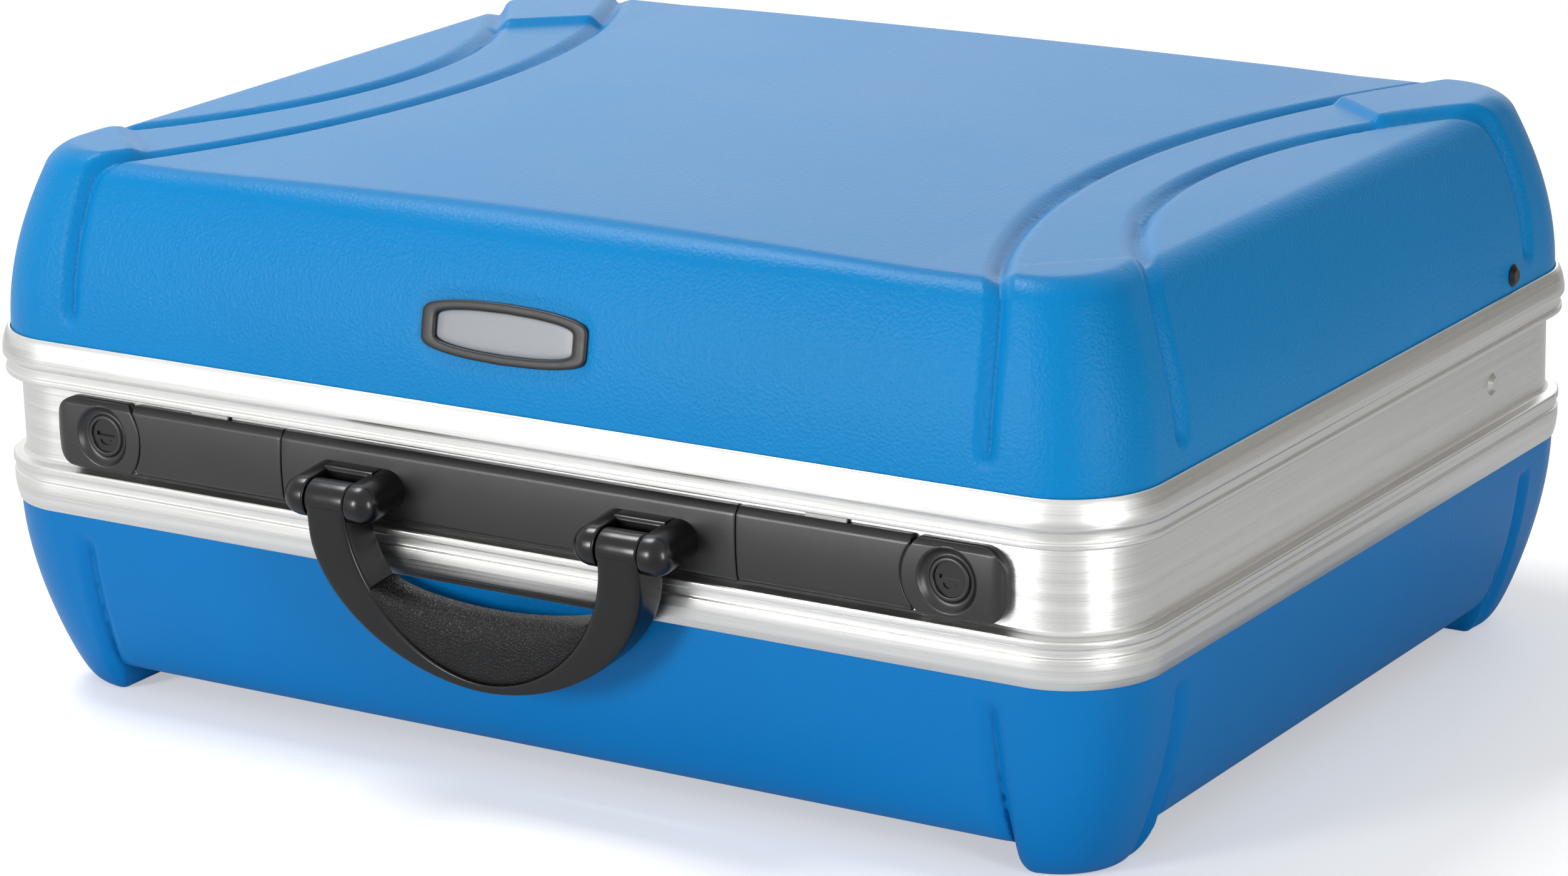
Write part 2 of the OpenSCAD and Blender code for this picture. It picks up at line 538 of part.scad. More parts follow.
module lock_housing() {
    x0 = housing_x + strip_gap / 2;
    x1 = strip_l / 2;
    end_r = 9;
    lip_r = barrel_r + 2.4; // where the dish ends beside the barrel
    room_r = dish_r + 0.2; // room for the cam behind the housing
    front = -band_y - strip_t - strip_crown;
    difference() {
        intersection() {
            strip_piece(dish_x - bump_r, x1);
            translate([0, 1 - band_y, strip_z]) rotate([90, 0, 0]) linear_extrude(strip_t + strip_crown + 2) union() {
                translate([x0, 0]) square([x1 - end_r - x0, strip_h]);
                translate([x0, end_r]) square([x1 - x0, strip_h - 2 * end_r]);
                translate([x1 - end_r, end_r]) circle(r = end_r, $fn = 64);
                translate([x1 - end_r, strip_h - end_r]) circle(r = end_r, $fn = 64);
                translate([dish_x, strip_h / 2]) circle(r = bump_r, $fn = 96);
            }
        }
        bar_y(dish_x, front - 0.01, front + dish_deep, dish_z, dish_r, lip_r);
        bar_y(dish_x, front, -band_y + 1, dish_z, barrel_r + pin_fit, barrel_r + pin_fit);
        bar_y(dish_x, -band_y - 1.5, -band_y + 1, dish_z, room_r, room_r);
        latch_bore(latch_pin_r + pin_fit);
    }
}
// The barrel's face carries a flat key slot and the small crescent under it.
key_w = 8;
key_t = 1.5;
barrel_end = 1.3; // distance of the barrel's rear end from the band
cam_t = 1;
cam_l = 10.5;
module key_barrel() {
    front = -band_y - strip_t - strip_crown + dish_deep - 0.4;
    difference() {
        bar_y(dish_x, front, -band_y - barrel_end, dish_z, barrel_r, barrel_r);
        translate([dish_x - key_w / 2, front - 1, dish_z - 0.1]) cube([key_w, 1.8, key_t]);
        intersection() {
            difference() {
                bar_y(dish_x, front - 1, front + 0.5, dish_z, 3.6, 3.6);
                bar_y(dish_x, front - 2, front + 1, dish_z, 2.6, 2.6);
            }
            translate([dish_x - 2.6, front - 1, dish_z - 4]) cube([5.2, 2, 2.6]);
        }
    }
}
module lock_cam() {
    difference() {
        union() {
            bar_y(dish_x, -band_y - barrel_end, -band_y - barrel_end + cam_t, dish_z, 4, 4);
            translate([dish_x - 3, -band_y - barrel_end, dish_z - cam_l]) cube([6, cam_t, cam_l]);
        }
        translate([dish_x - 1, -band_y - 2, dish_z - 1]) cube([2, 3, 2]);
    }
}

// Handle: both arms and the strap are one sweep between two rounded outlines.
handle_x = bracket_span / 2;
arm_r = handle_t * 0.42;
arm_gap = seat_gap + 0.1;
outline_n = 2 / 1.9; // exponent of the strap's outlines
outer_start = 10.5; // how far below the pivot the outlines start
inner_start = 3.5;
square_n = 0.35; // exponent of the arms' section
function outer_line(a) = [(handle_x + arm_w / 2) * power(cos(a), outline_n),
    -outer_start - (handle_drop - outer_start) * power(sin(a), outline_n)];
function inner_line(a) = [(handle_x - arm_w / 2) * power(cos(a), outline_n),
    -inner_start - (handle_drop - strap_t - inner_start) * power(sin(a), outline_n)];
section_n = 16;
strap_steps = 26;
// A ring of points between two places of the handle's plane, over its depth.
function section(p, q, b0, b1, e) = [for (i = [0:section_n - 1])
    let(a = 360 * (i + 0.5) / section_n, m = lerp(p, q, 0.5 + 0.5 * power(cos(a), e)),
        b = lerp(b0, b1, 0.5 + 0.5 * power(sin(a), e))) snap([m[0], b, m[1]])];
module loft(rings) {
    n = len(rings) - 1;
    m = section_n;
    polyhedron([for (r = rings) each r],
        concat([[for (i = [0:m - 1]) i]],
            [for (k = [0:n - 1], i = [0:m - 1]) each
                [[k * m + i, (k + 1) * m + i, (k + 1) * m + (i + 1) % m],
                 [k * m + i, (k + 1) * m + (i + 1) % m, k * m + (i + 1) % m]]],
            [[for (i = [0:m - 1]) n * m + m - 1 - i]]));
}
module leaning() { translate([0, pivot_y, pivot_z]) rotate([handle_lean, 0, 0]) children(); }
module handle_frame_solid() {
    xo = handle_x + arm_w / 2;
    xi = handle_x - arm_w / 2;
    difference() {
        union() {
            loft(concat([section([xo, -1], [xi, -1], -arm_r, handle_t - arm_r, square_n)],
                [for (i = [0:strap_steps]) let(a = 180 * i / strap_steps)
                    section(outer_line(a), inner_line(a), -arm_r, handle_t - arm_r, square_n)],
                [section([-xo, -1], [-xi, -1], -arm_r, handle_t - arm_r, square_n)]));
            both() bar_x(xi, xo, 0, 0, arm_r);
        }
        both() bar_x(xi - 1, xo + 1, 0, 0, handle_pin_r + pin_fit);
    }
}
grip_a = 28; // where the grip starts on the strap
grip_less = 0.8; // how much thinner the grip is on each side
grip_rise = 4.5; // how much higher its ends are
function grip_top(x) = -handle_drop + strap_t + grip_h + grip_rise * pow(x / 43, 2);
module handle_grip_solid() {
    loft([for (i = [0:strap_steps - 6]) let(a = lerp(grip_a, 180 - grip_a, i / (strap_steps - 6)),
        p = inner_line(a), x = p[0] * 0.95)
        section([p[0] * 0.985, p[1] + 0.4], [x, grip_top(x)], grip_less - arm_r, handle_t - arm_r - grip_less, 0.55)]);
}
pin_in = 6; // how far a handle pin reaches into each ear
module handle_bracket() {
    in = arm_w / 2 + arm_gap;
    foot_z = 5.4;
    back = pivot_out + 1.5; // behind the strip's face, which trims it
    top = ear_r + 1.4;
    wall = handle_t - arm_r + 0.9; // clears the barrel as the handle turns
    arm = [[0, ear_r], [3, top - 0.3], [back, top], [back, -foot_z], [0, -ear_r]];
    hood = [[wall, ear_r + 0.2], [wall + 0.9, top - 0.2], [back, top], [back, -foot_z], [wall, -foot_z]];
    difference() {
        translate([handle_x, pivot_y, pivot_z]) difference() {
            union() {
                both() {
                    along_x(in, in + ear_l - 2.4, arm);
                    translate([in, 0, 0]) rotate([0, 90, 0]) rotate_extrude($fn = 64) intersection() {
                        union() {
                            square([ear_r, ear_l - ear_r]);
                            translate([0, ear_l - ear_r]) circle(r = ear_r, $fn = 64);
                        }
                        square([ear_r, ear_l]);
                    }
                }
                along_x(-in, in, hood);
            }
            bar_x(-in - pin_in - 1, in + pin_in + 1, 0, 0, handle_pin_r + pin_fit);
        }
        strip_piece(0, strip_l / 2);
    }
}

// Hinges: knuckles share one pin behind the lid frame's bead.
knuckles = 5;
knuckle_gap = 0.3;
leaf_t = 1.6;
hinge_x = hinge_span / 2 - hinge_l / 2;
module knuckle_row(first) {
    step = hinge_l / knuckles;
    for (i = [first:2:knuckles - 1]) translate([hinge_x + i * step, 0, 0]) children();
}
knuckle_l = hinge_l / knuckles - knuckle_gap;
rivet_r = 1.5;
rivet_x = [10, hinge_l / 2, hinge_l - 10];
base_rivets = [for (x = rivet_x) [hinge_x + x, z_base + 29]];
lid_rivets = [for (x = rivet_x) [hinge_x + x, z_part + seal_t + 9.6]];
module hinge_base_leaf() {
    y0 = band_y;
    arm = [[y0, hinge_z - 12], [y0 + leaf_t, hinge_z - 12], [hinge_y + 1.4, hinge_z - 2.6],
           [hinge_y - 1.6, hinge_z - 1], [y0, hinge_z - 6.6]];
    difference() {
        union() {
            along_x(hinge_x, hinge_x + hinge_l,
                [[y0, z_base + 21], [y0 + leaf_t, z_base + 21], [y0 + leaf_t, hinge_z - 9], [y0, hinge_z - 9]]);
            knuckle_row(0) { along_x(0, knuckle_l, arm); bar_x(0, knuckle_l, hinge_y, hinge_z, knuckle_r); }
        }
        bar_x(hinge_x - 1, hinge_x + hinge_l + 1, hinge_y, hinge_z, hinge_pin_r + pin_fit);
        for (p = base_rivets) bar_y(p[0], y0 - 1, y0 + leaf_t + 1, p[1], rivet_r + pin_fit, rivet_r + pin_fit);
    }
}
module hinge_lid_leaf() {
    y0 = hd + lid_bead;
    z0 = hinge_z + knuckle_r + 0.6;
    difference() {
        union() {
            along_x(hinge_x, hinge_x + hinge_l,
                [[y0, z0], [y0 + leaf_t, z0], [y0 + leaf_t, z_lid - 1.4], [y0, z_lid - 1.4]]);
            knuckle_row(1) {
                along_x(0, knuckle_l, [[y0, hinge_z + 0.6], [hinge_y, hinge_z], [y0 + leaf_t, z0 + 1], [y0, z0 + 1]]);
                bar_x(0, knuckle_l, hinge_y, hinge_z, knuckle_r);
            }
        }
        bar_x(hinge_x - 1, hinge_x + hinge_l + 1, hinge_y, hinge_z, hinge_pin_r + pin_fit);
        for (p = lid_rivets) bar_y(p[0], y0 - 1, y0 + leaf_t + 1, p[1], rivet_r + pin_fit, rivet_r + pin_fit);
    }
}
module rivet_y(x, y0, y1, z) {
    bar_y(x, y0, y1, z, rivet_r, rivet_r);
    bar_y(x, y1, y1 + 1, z, rivet_r + 1.2, rivet_r + 0.3);
}

module base_shell() { color(blue) place() shell_solid(false); }
module base_frame() { color(metal) place() difference() {
    translate([0, 0, z_base]) swept_ring(base_profile());
    both() bar_x(hw - 20, hw, base_pin[0], base_pin[1], stay_pin_r + pin_fit);
    both() for (p = base_rivets) bar_y(p[0], band_y - frame_t - 1, band_y + 1, p[1], rivet_r + pin_fit, rivet_r + pin_fit);
} }
module frame_seal() { color(dark) place() translate([0, 0, z_base]) swept_ring(seal_profile()); }
module lid_shell() { color(blue) place() difference() {
    shell_solid(true);
    badge_part(-badge_sink - 0.1, 9, -0.3);
    both() bar_x(hw - 20, hw + 1, lid_pin[0], lid_pin[1], stay_pin_r + pin_fit);
} }
module lid_frame() { color(metal) place() difference() {
    translate([0, 0, z_part + seal_t]) swept_ring(lid_profile());
    both() for (p = lid_rivets) bar_y(p[0], hd - slot_out + 0.6, hd + lid_bead + 1, p[1], rivet_r + pin_fit, rivet_r + pin_fit);
} }
module badge_bezel() { color(dark) place() difference() {
    badge_part(-badge_sink, badge_out, 0);
    badge_part(0, badge_out + 1, bezel_w);
} }
module badge_insert() { color([0.6, 0.61, 0.62]) place() badge_part(0, badge_out - seat_gap, bezel_w + 0.2); }
module handle_plate() { color(black) place() difference() {
    strip_piece(-plate_x + strip_gap / 2, plate_x - strip_gap / 2);
    both() latch_bore(latch_pin_r + pin_fit);
} }
module handle_bracket_left() { color(black) place() side(false) handle_bracket(); }
module handle_bracket_right() { color(black) place() side(true) handle_bracket(); }
module handle_pins() { color(metal) place() both()
    bar_x(handle_x - arm_w / 2 - pin_in, handle_x + arm_w / 2 + pin_in, pivot_y, pivot_z, handle_pin_r);
}
module handle_frame() { color(black) place() leaning() handle_frame_solid(); }
module handle_grip() { color(dark) place() leaning() handle_grip_solid(); }
module latch_lever_left() { color(black) place() side(false) latch_lever(); }
module latch_lever_right() { color(black) place() side(true) latch_lever(); }
module latch_pins() { color(metal) place() both() bar_x(plate_x - pin_reach, housing_x + pin_reach, latch_y, latch_z, latch_pin_r); }
module latch_keepers() { color(metal) place() both() latch_keeper(); }
module lock_housing_left() { color(black) place() side(false) lock_housing(); }
module lock_housing_right() { color(black) place() side(true) lock_housing(); }
module key_barrel_left() { color(dark) place() side(false) key_barrel(); }
module key_barrel_right() { color(dark) place() side(true) key_barrel(); }
module lock_cam_left() { color(metal) place() side(false) lock_cam(); }
module lock_cam_right() { color(metal) place() side(true) lock_cam(); }
module hinge_leaf_base() { color(metal) place() both() hinge_base_leaf(); }
module hinge_leaf_lid() { color(metal) place() both() hinge_lid_leaf(); }
module hinge_pins() { color(metal) place() both() bar_x(hinge_x, hinge_x + hinge_l, hinge_y, hinge_z, hinge_pin_r); }
module hinge_rivets_base() { color(metal) place() both()
    for (p = base_rivets) rivet_y(p[0], band_y - frame_t, band_y + leaf_t, p[1]);
}
module hinge_rivets_lid() { color(metal) place() both()
    for (p = lid_rivets) rivet_y(p[0], hd - slot_out + 0.7, hd + lid_bead + leaf_t, p[1]);
}
module stay_left() { color(metal) place() side(false) stay(); }
module stay_right() { color(metal) place() side(true) stay(); }
module stay_pins_base() { color(metal) place() both() stay_rivet(base_pin, hw - band_in, hw - band_back); }
module stay_pins_lid() { color(black) place() both()
    stay_rivet(lid_pin, lid_wall_x + 0.4, lid_wall_x - shell_t - 0.9);
}

base_shell();
base_frame();
frame_seal();
lid_shell();
lid_frame();
badge_bezel();
badge_insert();
handle_plate();
handle_bracket_left();
handle_bracket_right();
handle_pins();
handle_frame();
handle_grip();
latch_lever_left();
latch_lever_right();
latch_pins();
latch_keepers();
lock_housing_left();
lock_housing_right();
key_barrel_left();
key_barrel_right();
lock_cam_left();
lock_cam_right();
hinge_leaf_base();
hinge_leaf_lid();
hinge_pins();
hinge_rivets_base();
hinge_rivets_lid();
stay_left();
stay_right();
stay_pins_base();
stay_pins_lid();
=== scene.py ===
import math
import bmesh
import bpy
import numpy as np
from mathutils import Matrix, Vector


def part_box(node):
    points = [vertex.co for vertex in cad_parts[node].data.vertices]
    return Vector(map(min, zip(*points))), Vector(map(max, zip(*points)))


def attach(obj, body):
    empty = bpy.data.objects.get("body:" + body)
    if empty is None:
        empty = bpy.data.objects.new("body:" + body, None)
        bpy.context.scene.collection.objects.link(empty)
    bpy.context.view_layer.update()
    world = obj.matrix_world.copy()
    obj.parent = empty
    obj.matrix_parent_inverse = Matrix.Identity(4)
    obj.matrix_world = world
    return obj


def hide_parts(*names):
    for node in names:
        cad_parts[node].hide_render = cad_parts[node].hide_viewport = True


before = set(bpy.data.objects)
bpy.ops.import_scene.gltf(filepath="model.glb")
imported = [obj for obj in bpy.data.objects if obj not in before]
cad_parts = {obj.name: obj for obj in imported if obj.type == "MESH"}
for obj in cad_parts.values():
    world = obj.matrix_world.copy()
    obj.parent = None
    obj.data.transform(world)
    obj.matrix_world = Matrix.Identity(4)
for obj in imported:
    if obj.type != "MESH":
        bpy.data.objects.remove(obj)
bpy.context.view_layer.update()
print("frame loaded:", len(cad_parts), "nodes")

# The case in millimetres, as the construction has it; y is measured from the middle of the shells.
case = {
    "width": 470, "depth": 366.6, "cornerRadius": 33, "wall": 4,
    "baseLip": 73, "parting": 120.2, "seal": 0.4, "lidLip": 137.3, "lidHeight": 65.5,
    "lipIn": 0.6, "skirt": 8, "bandIn": 3.5,
}
halfW, halfD = case["width"] / 2, case["depth"] / 2
bandY = halfD - case["bandIn"]
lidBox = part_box("lid_shell")
yShift = (lidBox[0].y + lidBox[1].y) / 2 * 1000


def smooth(t):  # 3t^2 - 2t^3 between 0 and 1
    u = np.clip(t, 0, 1)
    return u * u * (3 - 2 * u)


def lerp(a, b, t):
    return a + (b - a) * t


def power(v, e):  # keeps the sign
    return np.sign(v) * np.abs(v) ** e


def linearColour(hexText):  # sRGB hex to linear light
    rgb = [int(hexText[i:i + 2], 16) / 255 for i in (1, 3, 5)]
    return tuple(c / 12.92 if c <= 0.04045 else ((c + 0.055) / 1.055) ** 2.4 for c in rgb) + (1.0,)


def setNode(tree, node, settings, links=None):  # its settings by socket or attribute, and its incoming links
    for key, value in settings.items():
        if isinstance(key, str) and hasattr(node, key):
            setattr(node, key, value)
        else:
            node.inputs[key].default_value = value
    for key, source in (links or {}).items():
        tree.links.new(source, node.inputs[key])
    return node


def addNode(tree, kind, settings=None, links=None):
    return setNode(tree, tree.nodes.new(kind), settings or {}, links)


def newMaterial(name):
    material = bpy.data.materials.new(name)
    material.use_nodes = True
    tree = material.node_tree
    shader = tree.nodes["Principled BSDF"]
    return material, tree, shader


def gridFaces(nu, nv, wrapU, wrapV):  # corner indices of every quad of a grid, and the same before wrapping
    a, b = np.meshgrid(np.arange(nu if wrapU else nu - 1), np.arange(nv if wrapV else nv - 1), indexing="ij")
    au = np.stack([a, a + 1, a + 1, a], -1).reshape(-1, 4)
    bv = np.stack([b, b, b + 1, b + 1], -1).reshape(-1, 4)
    return (au % nu) * nv + (bv % nv), au, bv


def makePiece(name, patches, body, material, replaced, crease):
    # Every patch is (points[nu, nv, 3] in mm, wrapU, wrapV, u values, v values); edges that meet are merged. The piece
    # takes the place of the replaced nodes, and its edges above crease degrees are drawn sharp.
    mesh = bpy.data.meshes.new(name)
    points, faces, uvs, start = [], [], [], 0
    for patch in patches:
        grid, wrapU, wrapV = patch[:3]
        nu, nv = grid.shape[:2]
        quads, au, bv = gridFaces(nu, nv, wrapU, wrapV)
        uAt = patch[3] if len(patch) > 3 else np.arange(nu + 1.0)
        vAt = patch[4] if len(patch) > 4 else np.arange(nv + 1.0)
        points.append(grid.reshape(-1, 3))
        faces.append(quads + start)
        uvs.append(np.stack([uAt[au], vAt[bv]], -1).reshape(-1, 2))
        start += nu * nv
    points, faces, uvs = np.concatenate(points), np.concatenate(faces), np.concatenate(uvs)
    points = points + [0, yShift, 0]
    mesh.vertices.add(len(points))
    mesh.vertices.foreach_set("co", (points * 0.001).astype(np.float32).ravel())
    mesh.loops.add(faces.size)
    mesh.loops.foreach_set("vertex_index", faces.astype(np.int32).ravel())
    mesh.polygons.add(len(faces))
    mesh.polygons.foreach_set("loop_start", np.arange(0, faces.size, 4, dtype=np.int32))
    mesh.update(calc_edges=True)
    layer = mesh.uv_layers.new(name="alongPiece")
    layer.data.foreach_set("uv", uvs.astype(np.float32).ravel())
    tidyMesh(mesh, crease)
    placePiece(name, mesh, body, material, replaced)


def tidyMesh(mesh, crease):  # joins what meets within 0.004 mm, turns the faces outwards, creases sharp edges
    bm = bmesh.new()
    bm.from_mesh(mesh)
    bmesh.ops.remove_doubles(bm, verts=bm.verts, dist=4e-6)
    bmesh.ops.dissolve_degenerate(bm, edges=bm.edges, dist=1e-7)
    bmesh.ops.recalc_face_normals(bm, faces=bm.faces)
    if bm.calc_volume(signed=True) < 0:
        bmesh.ops.reverse_faces(bm, faces=bm.faces)
    bm.to_mesh(mesh)
    bm.free()
    mesh.polygons.foreach_set("use_smooth", np.ones(len(mesh.polygons), dtype=bool))
    mesh.set_sharp_from_angle(angle=math.radians(crease))
    mesh.update()


def placePiece(name, mesh, body, material, replaced):
    piece = bpy.data.objects.new(name, mesh)
    bpy.context.scene.collection.objects.link(piece)
    mesh.materials.append(material)
    if replaced:
        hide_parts(*replaced)
    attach(piece, body)


def borderLoop(grid):  # the outer points of a grid, once round
    return np.concatenate([grid[:, 0], grid[-1, 1:], grid[-2::-1, -1], grid[0, -2:0:-1]])


def capPatch(loop, centre):  # a flat end: a loop drawn in to one point
    return (np.stack([loop, np.broadcast_to(centre, loop.shape)]), False, True)


def withCaps(grid):  # a tube with both its ends closed
    return [(grid, False, True), capPatch(grid[0], grid[0].mean(0)), capPatch(grid[-1], grid[-1].mean(0))]


def roundOff(profile, radius, steps=4):  # each corner of a closed profile becomes a short curve
    p = np.array(profile, float)
    before, after = np.roll(p, 1, 0) - p, np.roll(p, -1, 0) - p
    lb, la = np.linalg.norm(before, axis=1), np.linalg.norm(after, axis=1)
    r = np.minimum(radius, 0.42 * np.minimum(lb, la))[:, None]
    a, b = p + before / lb[:, None] * r, p + after / la[:, None] * r
    t = np.linspace(0, 1, steps)[None, :, None]
    curve = (1 - t) ** 2 * a[:, None] + 2 * t * (1 - t) * p[:, None] + t ** 2 * b[:, None]
    return curve.reshape(-1, 2)


grain = {  # real sizes in millimetres; the pebbles are drawn a little coarser than they are, so that they show
    "shellPitch": 1.2, "shellFine": 0.35, "fadeFrom": 195, "fadeTo": 200, "topShare": 0.45,
    "brushWidth": 0.28, "brushLength": 90, "satinPitch": 0.5, "polishPitch": 1.2, "keyPitch": 0.8, "leather": 1.3,
}


def mouldedAbs(name, hexText, pebble, roughness):
    # ABS sheet, vacuum formed over a grained mould: a pebbled satin skin whose shine breaks up in small beads. The
    # stretched top keeps less of the grain than the walls.
    material, tree, shader = newMaterial(name)
    where = addNode(tree, "ShaderNodeTexCoord").outputs["Object"]
    pebbles = addNode(tree, "ShaderNodeTexVoronoi", {"feature": "SMOOTH_F1", "Scale": 1000 / grain["shellPitch"],
                                                     "Smoothness": 0.7, "Randomness": 1.0}, {"Vector": where})
    fine = addNode(tree, "ShaderNodeTexNoise", {"Scale": 1000 / grain["shellFine"], "Detail": 3.0, "Roughness": 0.6},
                   {"Vector": where})
    height = addNode(tree, "ShaderNodeMath", {"operation": "MULTIPLY_ADD", 1: 0.5},
                     {0: fine.outputs["Fac"], 2: pebbles.outputs["Distance"]})
    level = addNode(tree, "ShaderNodeSeparateXYZ", {}, {"Vector": where})
    strength = addNode(tree, "ShaderNodeMapRange", {
        "From Min": grain["fadeFrom"] / 1000, "From Max": grain["fadeTo"] / 1000, "To Min": pebble,
        "To Max": pebble * grain["topShare"]}, {"Value": level.outputs["Z"]})
    bump = addNode(tree, "ShaderNodeBump", {"Distance": 0.00022},
                   {"Height": height.outputs[0], "Strength": strength.outputs["Result"]})
    broad = addNode(tree, "ShaderNodeTexNoise", {"Scale": 9.0, "Detail": 4.0, "Roughness": 0.55}, {"Vector": where})
    tone = addNode(tree, "ShaderNodeValToRGB", {}, {"Fac": broad.outputs["Fac"]})
    for stop, share in zip(tone.color_ramp.elements, (0.95, 1.1)):
        stop.color = tuple(min(1, c * share) for c in linearColour(hexText)[:3]) + (1,)
    rough = addNode(tree, "ShaderNodeMapRange", {"To Min": roughness - 0.04, "To Max": roughness + 0.05},
                    {"Value": broad.outputs["Fac"]})
    setNode(tree, shader, {"IOR": 1.53, "Specular IOR Level": 0.13},
            {"Base Color": tone.outputs["Color"], "Roughness": rough.outputs["Result"],
             "Normal": bump.outputs["Normal"]})
    return material


def brushedAluminium(name, hexText, roughness, streak):
    # Extruded aluminium, belt brushed along its length: long fine scratches that smear every reflection upwards.
    material, tree, shader = newMaterial(name)
    uv = addNode(tree, "ShaderNodeUVMap", {"uv_map": "alongPiece"}).outputs["UV"]
    along = addNode(tree, "ShaderNodeMapping", {"Scale": (1000 / grain["brushLength"], 1000 / grain["brushWidth"], 1)},
                    {"Vector": uv})
    lines = addNode(tree, "ShaderNodeTexNoise", {"noise_dimensions": "2D", "Scale": 1.0, "Detail": 6.0,
                                                 "Roughness": 0.62}, {"Vector": along.outputs["Vector"]})
    wide = addNode(tree, "ShaderNodeMapping", {"Scale": (3.0, 330, 1)}, {"Vector": uv})  # bands 0.33 m by 3 mm
    bands = addNode(tree, "ShaderNodeTexNoise", {"noise_dimensions": "2D", "Scale": 1.0, "Detail": 3.0},
                    {"Vector": wide.outputs["Vector"]})
    both = addNode(tree, "ShaderNodeMath", {"operation": "MULTIPLY_ADD", 1: 0.6},
                   {0: bands.outputs["Fac"], 2: lines.outputs["Fac"]})
    tone = addNode(tree, "ShaderNodeMapRange", {"From Min": 0.5, "From Max": 1.1, "To Min": 0.86, "To Max": 1.06},
                   {"Value": both.outputs[0]})
    colour = addNode(tree, "ShaderNodeMix", {"data_type": "RGBA", "blend_type": "MULTIPLY", "Factor": 1.0,
                                             6: linearColour(hexText)}, {7: tone.outputs["Result"]})
    rough = addNode(tree, "ShaderNodeMapRange", {"From Min": 0.5, "From Max": 1.1, "To Min": roughness - 0.07,
                                                 "To Max": roughness + 0.09}, {"Value": both.outputs[0]})
    bump = addNode(tree, "ShaderNodeBump", {"Strength": streak, "Distance": 0.00006}, {"Height": both.outputs[0]})
    setNode(tree, shader, {"Metallic": 1.0},
            {"Base Color": colour.outputs[2], "Roughness": rough.outputs["Result"], "Normal": bump.outputs["Normal"]})
    return material


def satinNylon(name, hexText, roughness, pitch, depth, sheen):
    # Black glass-filled nylon, injection moulded against a spark-eroded tool: an even fine satin.
    material, tree, shader = newMaterial(name)
    where = addNode(tree, "ShaderNodeTexCoord").outputs["Object"]
    fine = addNode(tree, "ShaderNodeTexNoise", {"Scale": 1000 / pitch, "Detail": 4.0, "Roughness": 0.65},
                   {"Vector": where})
    broad = addNode(tree, "ShaderNodeTexNoise", {"Scale": 60.0, "Detail": 3.0}, {"Vector": where})
    rough = addNode(tree, "ShaderNodeMapRange", {"To Min": roughness - 0.05, "To Max": roughness + 0.07},
                    {"Value": broad.outputs["Fac"]})
    bump = addNode(tree, "ShaderNodeBump", {"Strength": depth, "Distance": 0.00008}, {"Height": fine.outputs["Fac"]})
    tone = addNode(tree, "ShaderNodeMapRange", {"To Min": 0.85, "To Max": 1.2}, {"Value": broad.outputs["Fac"]})
    colour = addNode(tree, "ShaderNodeMix", {"data_type": "RGBA", "blend_type": "MULTIPLY", "Factor": 1.0,
                                             6: linearColour(hexText)}, {7: tone.outputs["Result"]})
    setNode(tree, shader, {"IOR": 1.53, "Specular IOR Level": sheen},
            {"Base Color": colour.outputs[2], "Roughness": rough.outputs["Result"], "Normal": bump.outputs["Normal"]})
    return material


def grainedVinyl(name, hexText):
    # Soft vinyl moulded in an etched tool: a fine leather grain that turns a highlight into grey speckle.
    material, tree, shader = newMaterial(name)
    where = addNode(tree, "ShaderNodeTexCoord").outputs["Object"]
    cells = addNode(tree, "ShaderNodeTexVoronoi", {"feature": "DISTANCE_TO_EDGE", "Scale": 1000 / grain["leather"]},
                    {"Vector": where})
    flat = addNode(tree, "ShaderNodeMapRange", {"From Max": 0.25}, {"Value": cells.outputs["Distance"]})
    fine = addNode(tree, "ShaderNodeTexNoise", {"Scale": 2600.0, "Detail": 3.0}, {"Vector": where})
    height = addNode(tree, "ShaderNodeMath", {"operation": "MULTIPLY_ADD", 1: 0.7},
                     {0: fine.outputs["Fac"], 2: flat.outputs["Result"]})
    bump = addNode(tree, "ShaderNodeBump", {"Strength": 0.8, "Distance": 0.00016}, {"Height": height.outputs[0]})
    rough = addNode(tree, "ShaderNodeMapRange", {"To Min": 0.36, "To Max": 0.52}, {"Value": fine.outputs["Fac"]})
    setNode(tree, shader, {"Base Color": linearColour(hexText), "IOR": 1.5, "Specular IOR Level": 0.26},
            {"Roughness": rough.outputs["Result"], "Normal": bump.outputs["Normal"]})
    return material


def smoothPart(name, hexText, roughness, metallic, pitch, depth):
    # A small hard part with a fine skin of its own: tumbled, plated, painted or polished.
    material, tree, shader = newMaterial(name)
    where = addNode(tree, "ShaderNodeTexCoord").outputs["Object"]
    fine = addNode(tree, "ShaderNodeTexNoise", {"Scale": 1000 / pitch, "Detail": 4.0}, {"Vector": where})
    rough = addNode(tree, "ShaderNodeMapRange", {"To Min": roughness * 0.8, "To Max": roughness * 1.25},
                    {"Value": fine.outputs["Fac"]})
    tone = addNode(tree, "ShaderNodeMapRange", {"To Min": 0.92, "To Max": 1.08}, {"Value": fine.outputs["Fac"]})
    colour = addNode(tree, "ShaderNodeMix", {"data_type": "RGBA", "blend_type": "MULTIPLY", "Factor": 1.0,
                                             6: linearColour(hexText)}, {7: tone.outputs["Result"]})
    bump = addNode(tree, "ShaderNodeBump", {"Strength": depth, "Distance": 0.00004}, {"Height": fine.outputs["Fac"]})
    setNode(tree, shader, {"Metallic": metallic},
            {"Base Color": colour.outputs[2], "Roughness": rough.outputs["Result"], "Normal": bump.outputs["Normal"]})
    return material


